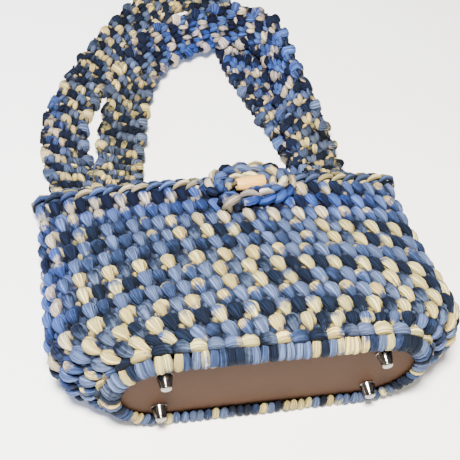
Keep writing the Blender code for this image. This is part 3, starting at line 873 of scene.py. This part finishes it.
# The sleeve's dark yarn is painted shade, seen in the gaps between the stitches
painted_shade_sleeve = sleeve(wall, SHADE_SLEEVE_HALF, 40, 160)
skin_object("body_painted_shade_sleeve", painted_shade_sleeve, shadow_yarn, ("body_front", "body_back"), close_length=True)

# %% [markdown]
# ## The base: board, edging and feet
# The board is a flat oval with softened edges. The first round of stitches wraps its edge, two
# upright strands to a stitch and a crescent over them. Four turned feet taper away from the board.


# %% The base edging's strands
EDGE_STITCHES, EDGE_POINTS = 46, 2048
EDGE_MIDDLE, EDGE_LIFT = 0.006, 0.002
# How far strands vary: right (stitches), out and up (mm), width (share)
EDGE_SWAY = (0.03, 0.25, 0.25, 0.05)


def edge_strands(yarn, table, count, start, stations, ring, dye, facing=None):
    """Strands round the board's edge. A table row holds right (stitches), out and up (mm from the
    edge of the board's outer face), half width (share of the pitch) and half thickness (mm)."""
    t, station = motif(table, stations, 3.0)
    column = np.arange(count)[:, None] + start
    sway = rng.normal(0, 1, (count, 4)) * EDGE_SWAY
    share = np.mod(-(column + station[:, 0] + sway[:, [0]]) / count, 1.0) * EDGE_POINTS
    outline = np.stack(stadium(BOARD_LENGTH / 2, BOARD_DEPTH / 2, EDGE_POINTS), -1)[0]
    chord = np.roll(outline, -6, 0) - np.roll(outline, 6, 0)
    out_way = unit(np.stack([chord[:, 1], -chord[:, 0]], -1))[share.astype(int) % EDGE_POINTS]
    out = (station[:, 1] + sway[:, [1]]) / 1000
    up = (station[:, 2] + sway[:, [2]]) / 1000
    place = between(share, outline)[0] + out_way * out[..., None]
    centres = np.stack([place[..., 0], up, BASE_CENTRE_Z + place[..., 1]], -1)
    run = np.gradient(station[:, 1:3], axis=0)
    away = unit(np.stack([run[:, 1], -run[:, 0]], -1)) if facing is None else np.tile(facing, (len(t), 1))
    raised = np.broadcast_to(away[:, 1], share.shape)
    normals = np.stack([out_way[..., 0] * away[:, 0], raised, out_way[..., 1] * away[:, 0]], -1)
    pitch = 2 * (BOARD_LENGTH - BOARD_DEPTH + math.pi * (BOARD_DEPTH / 2 + EDGE_MIDDLE)) / count
    width = station[:, 3] * pitch * (1 + sway[:, [3]])
    thickness = np.broadcast_to(station[:, 4] / 1000, share.shape)
    yarn.add(centres, normals, width, thickness, dye(column, t), ring, EDGE_LIFT)


EDGE_UPRIGHT = (
    (0.00, -6.0, -0.8, 0.21, 1.8),
    (0.00, -4.2, -2.6, 0.26, 2.4),
    (0.00, 1.4, -3.2, 0.30, 3.4),
    (0.03, 5.8, 0.8, 0.29, 3.4),
    (0.08, 6.6, 5.6, 0.24, 3.2),
    (0.13, 3.6, 9.6, 0.18, 2.4),
)
EDGE_CAP = (
    (-0.06, 3.0, 7.2, 0.26, 2.4),
    (0.14, 7.6, 8.2, 0.44, 3.6),
    (0.48, 9.0, 8.8, 0.50, 4.2),
    (0.82, 7.6, 8.2, 0.44, 3.6),
    (1.02, 3.0, 7.2, 0.26, 2.4),
)


def edge_dye(offset, span):
    """A stitch of the edging is mostly one colour, and colours run in groups of stitches."""
    return lambda column, t: 0.37 * column + 0.2 * np.sin(column * 1.7) + offset + span * t


edging = Yarn("base_edging_stitches")
edge_strands(edging, mirrored(EDGE_UPRIGHT, 0), EDGE_STITCHES, 0.00, 12, 10, edge_dye(0.0, 0.12))
edge_strands(edging, EDGE_UPRIGHT, EDGE_STITCHES, 0.50, 12, 10, edge_dye(0.05, 0.12))
edge_strands(edging, EDGE_CAP, EDGE_STITCHES, 0.25, 10, 10, edge_dye(0.55, 0.2), (0.94, 0.34))
edging.build(dyed_yarn, "base_edging")


# %% The board and its feet
def oval_skin(name, half_length, radius, profile, material, nodes):
    """A flat oval whose rim follows a profile of (inset, place along Y)."""
    x, z = (row[0] for row in stadium(half_length, radius, 160))
    middle = np.clip(x, radius - half_length, half_length - radius)
    rings = []
    for inset, y in profile:
        scale = (radius - inset) / radius
        place = middle + (x - middle) * scale, np.full_like(x, y), BASE_CENTRE_Z + z * scale
        rings.append(np.stack(place, -1))
    return skin_object(name, np.array(rings), material, nodes)


leather_colours = linear(52, 33, 20), linear(66, 43, 27)
chrome_colours = linear(112, 106, 102), linear(136, 130, 126)
wood_colours = linear(200, 150, 78), linear(220, 172, 96)
leather = grain_material("board_leather", *leather_colours, (420, 900, 1900), 0.7, 0.0002, specular=0.12)
chrome = grain_material("foot_chrome", *chrome_colours, (90, 90, 90), 0.16, 0.00002, metallic=1.0)
wood = grain_material("pale_wood", *wood_colours, (90, 900, 900), 0.42, 0.00008)
SOFT_EDGE, BOARD_INSET = 0.0008, 0.012
board_profile = (
    (BOARD_INSET, 0.0),
    (SOFT_EDGE, 0.0),
    (0.0, SOFT_EDGE),
    (0.0, BOARD_THICKNESS - SOFT_EDGE),
    (SOFT_EDGE, BOARD_THICKNESS),
    (BOARD_INSET, BOARD_THICKNESS),
)
board = oval_skin("board", BOARD_LENGTH / 2, BOARD_DEPTH / 2, board_profile, leather, ("base_board",))


def turned(name, profile, centre, axis, material, nodes, segments=40):
    """A turned piece from rows of radius and place along its axis."""
    axis = np.asarray(axis, float)
    first = unit(np.cross(axis, (0.3, 0.5, 0.81)))
    second = np.cross(axis, first)
    radius, along = smooth_rows(profile, 6).T
    radius = np.maximum(radius, 0.0001)
    angle = 2 * np.pi * np.arange(segments) / segments
    spoke = first * np.cos(angle)[:, None] + second * np.sin(angle)[:, None]
    rings = np.asarray(centre) + axis * along[:, None, None] + spoke * radius[:, None, None]
    return skin_object(name, rings, material, nodes)


FOOT_PROFILE = (
    (0.0066, -0.0003),
    (0.0068, -0.0008),
    (0.0065, -0.0014),
    (0.0056, -0.0050),
    (0.0046, -0.0092),
    (0.0043, -0.0108),
    (0.0035, -0.0117),
    (0.0016, -0.0118),
)
for row in ("front", "back"):
    for side in ("left", "right"):
        node = f"foot_{row}_{side}"
        low, high = (np.array(corner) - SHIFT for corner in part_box(node))
        centre = ((low[0] + high[0]) / 2, 0.0, (low[2] + high[2]) / 2)
        turned(node + "_turned", FOOT_PROFILE, centre, (0, 1, 0), chrome, (node,))

# %% [markdown]
# ## The straps
# Each strap is a flat band of four stitches, worked in short rows. Its course over the table comes
# from a table of points, with the angle at which its outer edge is raised. A stitch is two slanting
# legs that meet at the top like an inverted V, with a bar across. Stitches are laid round the
# band's section, so both faces are covered, and a loop stands out over each edge at every second
# row, which gives the scalloped outline.

# %% The straps' courses
STRAP_WIDTH = 0.047
STRAP_THICKNESS = 0.0075
STRAP_ROOT_X = 0.098
FRONT_STRAP_REACH = 0.227
BACK_STRAP_REACH = 0.308
GAP = 0.0003
STRAP_INSET = 0.0022
# Across is a share of STRAP_ROOT_X, along a share of the strap's reach past the rim, lean is in
# degrees, and stack is the height of what lies underneath, in thicknesses of a strap.
FRONT_STRAP_COURSE = (
    # across, along, lean, stack
    (-0.93, 0.20, 0, 1.35),
    (-0.85, 0.40, 2, 0.95),
    (-0.75, 0.58, 8, 0.85),
    (-0.60, 0.745, 20, 1.00),
    (-0.37, 0.87, 30, 1.05),
    (-0.09, 0.945, 35, 1.10),
    (0.22, 0.985, 38, 1.20),
    (0.52, 1.00, 46, 1.25),
    (0.78, 0.94, 60, 1.25),
    (0.90, 0.83, 74, 1.15),
    (0.94, 0.70, 78, 1.15),
    (0.95, 0.58, 66, 1.25),
    (0.99, 0.44, 36, 1.30),
    (1.05, 0.28, 10, 1.35),
    (1.07, 0.16, 3, 1.50),
)
BACK_STRAP_COURSE = (
    # across, along, lean, stack
    (-1.35, 0.10, 0, 0.20),
    (-1.41, 0.20, 0, 0.00),
    (-1.42, 0.31, 0, 0.00),
    (-1.36, 0.41, 0, 0.00),
    (-1.24, 0.49, 0, 0.00),
    (-1.03, 0.61, 0, 0.00),
    (-0.73, 0.756, 0, 0.00),
    (-0.38, 0.892, 0, 0.00),
    (-0.03, 0.985, 0, 0.00),
    (0.33, 0.955, 0, 0.00),
    (0.55, 0.815, 0, 0.00),
    (0.59, 0.648, 0, 0.00),
    (0.71, 0.500, 0, 0.00),
    (0.86, 0.357, 0, 0.00),
    (0.98, 0.219, 0, 0.00),
    (1.06, 0.100, 0, 0.15),
)
# Where each strap's two ends leave the rim, as shares of STRAP_ROOT_X
FRONT_STRAP_ROOTS = (-0.99, 1.05)
BACK_STRAP_ROOTS = (-1.26, 1.06)
print("strap courses have", len(FRONT_STRAP_COURSE), "and", len(BACK_STRAP_COURSE), "places")


# %% A strap's roots and its surface
def resample(points, count):
    """The same line with its points at even lengths of its first three columns."""
    steps = np.linalg.norm(np.diff(points[:, :3], axis=0), axis=1)
    length = np.concatenate([[0.0], np.cumsum(steps)])
    at = np.linspace(0, length[-1], count)
    return np.stack([np.interp(at, length, column) for column in points.T], axis=1)


def strap_root(x, is_front):
    """Where a strap leaves the rim just inside its braid: place, then lean, as the rim runs there."""
    slack = RIM_DEPTH - 2 * RIM_END_RADIUS
    share, sign = (FRONT_SHARE, 1) if is_front else (1 - FRONT_SHARE, -1)
    edges = np.array([abs(x) - STRAP_WIDTH / 2, abs(x) + STRAP_WIDTH / 2])
    out = bulge(edges, RIM_HALF_WIDTH - RIM_END_RADIUS, slack) * share
    inner, outer = centre_height(1, RIM_END_RADIUS, slack) + sign * (RIM_END_RADIUS + out)
    inward = STRAP_THICKNESS / 2 + GAP + BRAID_RADIUS - BRAID_OFFSET
    return x, PURSE_HEIGHT + GAP, (inner + outer) / 2 - sign * inward, math.atan2(outer - inner, STRAP_WIDTH)


def strap_surface(course, reach, roots, is_front):
    """The band's middle skin: a rounded oblong carried along the course and raised by its lean."""
    past_braid = np.array((0.0, 3 * BRAID_RADIUS, 0.0, 0.0))
    left, right = [np.array(strap_root(share * STRAP_ROOT_X, is_front)) for share in roots]
    across, along, lean, stack = np.array(course, float).T
    tilt = np.radians(lean)
    rest = stack * (STRAP_THICKNESS + GAP) + GAP
    z = rest + STRAP_WIDTH / 2 * np.sin(tilt) + STRAP_THICKNESS / 2 * np.cos(tilt)
    rows = np.stack([across * STRAP_ROOT_X, PURSE_HEIGHT + along * reach, z, tilt], axis=1)
    rows = np.vstack([left + past_braid, rows, right + past_braid])
    rows = resample(np.vstack([left, smooth_rows(rows, 16), right]), 220)
    centre, tilt = rows[:, :3], rows[:, 3:]
    run = np.gradient(centre, axis=0)
    run[0], run[-1] = (0.0, 1.0, 0.0), (0.0, -1.0, 0.0)
    run = unit(run)
    level = unit(np.cross((0.0, 0.0, 1.0), run))
    over = np.cross(run, level)
    outer = level * np.cos(tilt) + over * np.sin(tilt)
    face = np.cross(run, outer)
    x, z = stadium(STRAP_WIDTH / 2 - STRAP_INSET, STRAP_THICKNESS / 2 - STRAP_INSET, 160)
    grid = centre[:, None] + outer[:, None] * x[0][:, None] + face[:, None] * z[0][:, None]
    length = np.linalg.norm(np.diff(centre, axis=0), axis=1).sum()
    return Surface(grid, 220), length


left_root = strap_root(FRONT_STRAP_ROOTS[0] * STRAP_ROOT_X, True)
print("left root of the front strap:", np.round(left_root, 4).tolist())

# %% The straps' stitches
STRAP_COLUMNS = 8
STRAP_ROW = 0.0108
STRAP_LEG = (
    # right (stitches), up (rows), out (mm), half width and half thickness (share of the pitch)
    (0.47, 1.18, -0.8, 0.15, 0.13),
    (0.38, 0.92, 2.0, 0.24, 0.22),
    (0.26, 0.48, 2.7, 0.27, 0.25),
    (0.13, 0.00, -0.8, 0.14, 0.13),
)
STRAP_BAR = (
    (0.00, 0.16, -1.0, 0.13, 0.12),
    (0.30, 0.04, 1.2, 0.19, 0.18),
    (0.70, 0.04, 1.2, 0.19, 0.18),
    (1.00, 0.16, -1.0, 0.13, 0.12),
)
# How far scallops vary: across and up (shares of a stitch), out (mm), width (share)
SCALLOP_SWAY, SCALLOP_WIDTH = (0.05, 0.08, 0.3, 0.06), 1.15
STRAP_SCALLOP = (
    # across (stitches from the edge), up (rows), out (mm), half width and half thickness (share)
    (-0.95, -0.30, -0.6, 0.24, 0.18),
    (-0.60, 0.00, 2.8, 0.40, 0.28),
    (0.00, 0.16, 3.6, 0.46, 0.30),
    (0.60, 0.00, 2.8, 0.40, 0.28),
    (0.95, -0.30, -0.6, 0.24, 0.18),
)


def lay_scallops(yarn, band, total, dye):
    """A loop over each edge of the band at every second row."""
    t, station = motif(STRAP_SCALLOP, 10, 3.0)
    for edge in (0.0, 0.5):
        row = (np.arange(0, total - 1, 2) + 0.5)[:, None]
        sway = rng.normal(0, 1, (len(row), 4)) * SCALLOP_SWAY
        across = edge + (station[:, 0] + sway[:, [0]]) / STRAP_COLUMNS
        along = (row + 0.5 + station[:, 1] + sway[:, [1]]) / total
        place, normal = band.read(across, along)
        lift = (station[:, 2] + sway[:, [2]]) / 1000
        centres = place + normal * lift[..., None]
        width = station[:, 3] * STRAP_ROW * SCALLOP_WIDTH * (1 + sway[:, [3]])
        thickness = np.broadcast_to(station[:, 4] * STRAP_ROW, width.shape)
        yarn.add(centres, normal, width, thickness, dye(row, edge * 7, t), 10, lift)


def strap_dye(offset, span):
    """Dye position along a strap's short rows."""
    return lambda row, column, t: row * 1.37 + column * 0.43 + 0.2 * np.sin(row * 0.7) + offset + span * t


for name, course, reach, roots, is_front in (
    ("strap_front", FRONT_STRAP_COURSE, FRONT_STRAP_REACH, FRONT_STRAP_ROOTS, True),
    ("strap_back", BACK_STRAP_COURSE, BACK_STRAP_REACH, BACK_STRAP_ROOTS, False),
):
    band, length = strap_surface(course, reach, roots, is_front)
    total = round(length / STRAP_ROW)
    piece = Yarn(name + "_stitches")
    lay(piece, band, STRAP_COLUMNS, total, 0.5, STRAP_LEG, 8, 8, strap_dye(0.0, 0.12))
    lay(piece, band, STRAP_COLUMNS, total, 0.5, mirrored(STRAP_LEG), 8, 8, strap_dye(0.06, 0.12))
    lay(piece, band, STRAP_COLUMNS, total, 0.5, STRAP_BAR, 6, 7, strap_dye(0.45, 0.2))
    lay_scallops(piece, band, total, strap_dye(0.8, 0.2))
    piece.build(strap_yarn, name)
    # A dark core inside the band is painted shade, seen in the gaps between the stitches
    skin_object(name + "_shade_core", band.points[::3, ::4], shadow_yarn, (name,))
    print(name, "has", total, "rows on", round(length, 3), "m")

# %% [markdown]
# ## Chains: the rim's braid and the closure
# A chain of crochet is a row of interlocked loops that shows as a line of V shapes. Each link is
# two slanted strands, one on each side of the chain's path. Two chains run round the rim, and the
# closure is two chains round a pale wooden toggle, with a knot of loops in front of it.


# %% Chains along a path
CHAIN_LIFT, CHAIN_PARTING = 0.0016, 0.17
# How far strands vary: along (links) and in size (share). The third is drawn and not used
CHAIN_SWAY = (0.04, 0.05, 0.0)
# Along (links), aside and up (shares of the chain's half width), half width and half thickness
CHAIN_ARM = (
    (-0.15, 0.10, -0.45, 0.30, 0.30),
    (0.15, 0.62, 0.05, 0.55, 0.45),
    (0.60, 0.62, 0.42, 0.60, 0.48),
    (1.00, 0.34, 0.40, 0.52, 0.42),
    (1.32, 0.02, -0.10, 0.26, 0.30),
)
RIM_ARM = (
    (-0.20, -0.10, -0.30, 0.26, 0.28),
    (0.20, 0.26, 0.34, 0.44, 0.42),
    (0.65, 0.62, 0.46, 0.46, 0.42),
    (1.10, 0.90, 0.10, 0.40, 0.38),
    (1.40, 0.98, -0.60, 0.22, 0.26),
)


def chain(yarn, path, away, links, width, dye, closed=False, arm=CHAIN_ARM, reach=1.0):
    """Two strands a link, one on each side of the path, which part less where the reach is below 1."""
    t, station = motif(arm, 8, 3.0)
    count = len(path)
    run = unit(np.roll(path, -1, 0) - np.roll(path, 1, 0)) if closed else unit(np.gradient(path, axis=0))
    away = unit(away - run * (away * run).sum(-1)[:, None])
    aside = np.cross(run, away) * np.broadcast_to(reach, count)[:, None]
    for sign in (1.0, -1.0):
        sway = rng.normal(0, 1, (links, 3)) * CHAIN_SWAY
        at = (np.arange(links)[:, None] + station[:, 0] + sway[:, [0]]) / links
        at = np.mod(at, 1.0) * count if closed else np.clip(at, 0, 1) * (count - 1)
        place, side, up = between(at, path, aside, away, closed=closed)
        offset = side * (sign * station[:, 1] * width)[:, None] + up * (station[:, 2] * width)[:, None]
        centres = place + offset
        size = 1 + sway[:, [1]]
        normals = unit(up + side * sign * 0.6)
        position = dye(np.arange(links)[:, None], t) + (CHAIN_PARTING if sign > 0 else 0.0)
        half_width, half_thickness = station[:, 3] * width * size, station[:, 4] * width * size
        yarn.add(centres, normals, half_width, half_thickness, position, 9, CHAIN_LIFT)


def straight_dye(step, offset, span):
    """Dye position along a chain."""
    return lambda link, t: link * step + 0.25 * np.sin(link * 0.9) + offset + span * t


def rim_dye(link, t):
    """Dye position along the rim, which keeps to the pale and the light blue part of the repeat."""
    return 0.16 + 0.28 * np.sin(link * 1.7) + 0.1 * t


def closure_dye(offset):
    """Dye position along the closure, which keeps to the pale part of the dye's repeat."""
    return lambda link, t: 0.25 + 0.28 * np.sin(link * 2.2 + offset) + 0.1 * t


print("a chain's arm has", len(CHAIN_ARM), "places, and", len(RIM_ARM), "on the rim's outer chain")

# %% The rim's two chains
RIM_LINKS, RIM_CHAIN_HALF, RIM_INNER_DROP = 54, 0.0060, 0.0025
x, z = wall_points(2048)[-1][:, 0], wall_points(2048)[-1][:, 2]
rim = np.stack([x, np.full_like(x, PURSE_HEIGHT + BRAID_RADIUS + GAP), z], -1)
tangent = np.roll(rim, -1, 0) - np.roll(rim, 1, 0)
outward = unit(np.stack([tangent[:, 2], np.zeros_like(x), -tangent[:, 0]], -1))
rim_path = rim + outward * BRAID_OFFSET
piece = Yarn("rim_chain")
rim_away = outward + np.array([0.0, 0.75, 0.0])
rim_arm_reach = np.interp(np.abs(rim[::8, 0]), (RIM_HALF_WIDTH - 0.02, RIM_HALF_WIDTH), (1.0, 0.55))
outer = rim_path[::8], rim_away[::8], RIM_LINKS, RIM_CHAIN_HALF
chain(piece, *outer, rim_dye, closed=True, arm=RIM_ARM, reach=rim_arm_reach)
rim_inner = rim - np.array([0.0, RIM_INNER_DROP, 0.0])
inner = rim_inner[::8], rim_away[::8], RIM_LINKS, RIM_CHAIN_HALF
chain(piece, *inner, straight_dye(0.17, 0.7, 0.2), closed=True)
piece.build(dyed_yarn, "rim_braid")

# %% The closure's place on the front
def front_height(x, y):
    """Height of the wall's outer front face over a point between the two ends."""
    rows = wall_rows()
    half_length, depth, radius, lift = (np.interp(y, rows[:, 0], column) for column in rows.T[1:])
    slack = depth - 2 * radius
    out = bulge(x, half_length - radius, slack) * FRONT_SHARE
    return centre_height(lift, radius, slack) + radius + out + WALL / 2


def front_slope(x, y):
    """Angle at which the front panel rises along y."""
    rise = front_height(x, y + WALL / 2) - front_height(x, y - WALL / 2)
    return np.arctan2(rise, WALL)


def closure_height(x, y, radius):
    """Centre height of something of that radius lying on the front panel or on its rim braid."""
    y = np.minimum(y, PURSE_HEIGHT)
    on_wall = front_height(x, y) + radius / np.cos(front_slope(x, y))
    on_braid = front_height(x, PURSE_HEIGHT) + BRAID_OFFSET + BRAID_RADIUS - WALL / 2 + radius
    near_rim = np.interp(PURSE_HEIGHT - y - BRAID_RADIUS, (BRAID_RADIUS, 4 * BRAID_RADIUS), (1, 0))
    return np.maximum(on_wall, on_wall + (on_braid - on_wall) * near_rim) + 3 * GAP


bead_low, bead_high = (np.array(corner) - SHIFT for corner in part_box("toggle_bead"))
bead = (bead_low + bead_high) / 2
print("the bead's middle:", np.round(bead, 4).tolist())

# %% The loop and its tether
LOOP_RADIUS, LOOP_HALF_LENGTH, LOOP_HALF_DEPTH = 0.0045, 0.0345, 0.0195
LOOP_START, LOOP_END, LOOP_DIP, LOOP_SHIFT, LOOP_DROP = -112, 205, 0.45, -0.0015, 0.0075
LOOP_LINKS, LOOP_CHAIN_HALF = 13, 0.0074
INNER_HALF_LENGTH, INNER_HALF_DEPTH, INNER_DROP = 0.0245, 0.0125, 0.0012
INNER_LINKS, INNER_CHAIN_HALF = 9, 0.0064
TETHER_LINKS, TETHER_CHAIN_HALF = 4, 0.0042
loop_x, loop_y = bead[0] - LOOP_SHIFT, PURSE_HEIGHT - LOOP_DROP
angle = np.radians(np.linspace(LOOP_START, LOOP_END, 240))
x = loop_x + LOOP_HALF_LENGTH * np.cos(angle)
y = loop_y + LOOP_HALF_DEPTH * np.sin(angle)
past_rim = np.maximum(0.0, y - PURSE_HEIGHT - 2 * BRAID_RADIUS)
z = closure_height(x, y, LOOP_RADIUS) - past_rim * LOOP_DIP
loop_path = np.stack([x, y, z], -1)
slope = front_slope(x, np.minimum(y, PURSE_HEIGHT - WALL))
loop_away = np.stack([0.25 * np.cos(angle), -np.sin(slope) + 0.3 * np.sin(angle), np.cos(slope)], -1)
piece = Yarn("closure_chain")
chain(piece, loop_path, loop_away, LOOP_LINKS, LOOP_CHAIN_HALF, closure_dye(0.4))
x = loop_x + INNER_HALF_LENGTH * np.cos(angle)
y = loop_y + INNER_HALF_DEPTH * np.sin(angle)
inner = np.stack([x, y, z - INNER_DROP], -1)
chain(piece, inner, loop_away, INNER_LINKS, INNER_CHAIN_HALF, closure_dye(1.9))

tether_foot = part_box("loop_tether")[0][2] - SHIFT[2]
far = loop_path[loop_path[:, 1].argmax()]
tether = np.array(
    [
        (far[0], far[1], far[2] - LOOP_RADIUS),
        (far[0], far[1] - 0.002, (far[2] + tether_foot) / 2),
        (far[0], PURSE_HEIGHT + 2 * BRAID_RADIUS, tether_foot + 0.008),
        (far[0], PURSE_HEIGHT + BRAID_RADIUS, tether_foot + 0.001),
    ]
)
tether = resample(smooth_rows(tether, 10), 60)
tether_away = np.tile([0.0, 1.0, 0.0], (60, 1))
chain(piece, tether, tether_away, TETHER_LINKS, TETHER_CHAIN_HALF, straight_dye(0.2, 0.1, 0.2))
print("loop of", LOOP_LINKS, "links, inner row of", INNER_LINKS, "and tether of", TETHER_LINKS)

# %% The knot in front of the loop
KNOT_RADIUS, KNOT_HALF_HEIGHT, KNOT_ASIDE, KNOT_BELOW = 0.0115, 0.0070, 0.70, 0.45
knot_y = loop_y - LOOP_HALF_DEPTH - KNOT_RADIUS * KNOT_BELOW
knot = np.array([loop_x - LOOP_HALF_LENGTH * KNOT_ASIDE, knot_y, 0.0])
tilt = float(front_slope(knot[0], knot[1]))
knot[2] = front_height(knot[0], knot[1]) + KNOT_HALF_HEIGHT / math.cos(tilt)
knot_across = np.array([1.0, 0.0, 0.0])
knot_along = np.array([0.0, math.cos(tilt), math.sin(tilt)])
knot_up = np.cross(knot_across, knot_along)
PETAL = (
    # along the petal, aside, up, half width, half thickness, all in mm
    (-9.5, -3.5, -3.0, 2.6, 2.2),
    (-5.0, -4.6, 2.2, 3.6, 3.0),
    (1.0, -3.6, 4.2, 4.0, 3.2),
    (6.5, -1.2, 2.6, 3.4, 2.8),
    (10.0, 2.0, -3.0, 2.4, 2.0),
)
PETAL_SCALE = 1.2
KNOT_PETALS = (
    # turn in radians, raised in mm, place in the dye's repeat
    (0.3, 0.8, 0.45),
    (2.4, 0.0, 0.05),
    (4.4, -0.4, 0.2),
    (5.4, -1.6, 0.7),
    (1.4, -1.8, 0.9),
)
t, station = motif(PETAL, 9, 3.0)
station = station * PETAL_SCALE
for turn_by, raised, colour in KNOT_PETALS:
    cosine, sine = math.cos(turn_by), math.sin(turn_by)
    flat_x = station[:, 0] * cosine - station[:, 1] * sine
    flat_y = station[:, 0] * sine + station[:, 1] * cosine
    flat = flat_x[:, None] * knot_across + flat_y[:, None] * knot_along
    centres = knot + (flat + (station[:, [2]] + raised) * knot_up) / 1000
    normals = unit(centres - knot + knot_up * 0.006)
    half_width, half_thickness = station[None, :, 3:].transpose(2, 0, 1) / 1000
    piece.add(centres[None], normals[None], half_width, half_thickness, (colour + 0.15 * t)[None], 12)
piece.build(dyed_yarn, "closure_loop", "loop_tether", "closure_knot")

# %% The toggle and its cord
BEAD_LENGTH, CORD_RADIUS = 0.027, 0.0021
BEAD_AXIS = (math.cos(math.radians(7)), math.sin(math.radians(7)), 0.0)
BEAD_PROFILE = (
    (0.0026, -0.0124),
    (0.0030, -0.0134),
    (0.0046, -0.0135),
    (0.0053, -0.0128),
    (0.0060, -0.0077),
    (0.0062, 0.0),
    (0.0060, 0.0077),
    (0.0053, 0.0128),
    (0.0046, 0.0135),
    (0.0030, 0.0134),
    (0.0026, 0.0124),
)
turned("toggle_bead_turned", BEAD_PROFILE, bead, BEAD_AXIS, wood, ("toggle_bead",))
half = BEAD_LENGTH / 2
cord = []
for side in (-1, 1):
    x = bead[0] + side * (half + 2 * CORD_RADIUS)
    ground = float(front_height(x, bead[1]))
    rows = np.array(
        [
            (bead[0] + side * half * 0.5, bead[1], bead[2]),
            (bead[0] + side * half * 0.95, bead[1], bead[2]),
            (x - side * 0.0005, bead[1], ground + (bead[2] - ground) * 0.6),
            (x + side * 0.001, bead[1], ground - 0.002),
        ]
    )
    cord.append(resample(smooth_rows(rows, 10), 14))
piece = Yarn("toggle_cord_strands")
cord = np.array(cord)
facing = np.tile([0.0, 0.3, 1.0], (*cord.shape[:2], 1))
width, pale = np.full(cord.shape[:2], CORD_RADIUS), np.full(cord.shape[:2], 0.5)
piece.add(cord, facing, width, width, pale, 10)
piece.build(dyed_yarn, "toggle_cord")
runs = [np.linalg.norm(np.diff(line, axis=0), axis=1).sum() for line in (loop_path, tether, *cord)]
lengths = round(runs[0], 3), round(runs[1], 3), round(sum(runs[2:]) + half, 3)
print("loop, tether and toggle cord, in m:", *lengths)
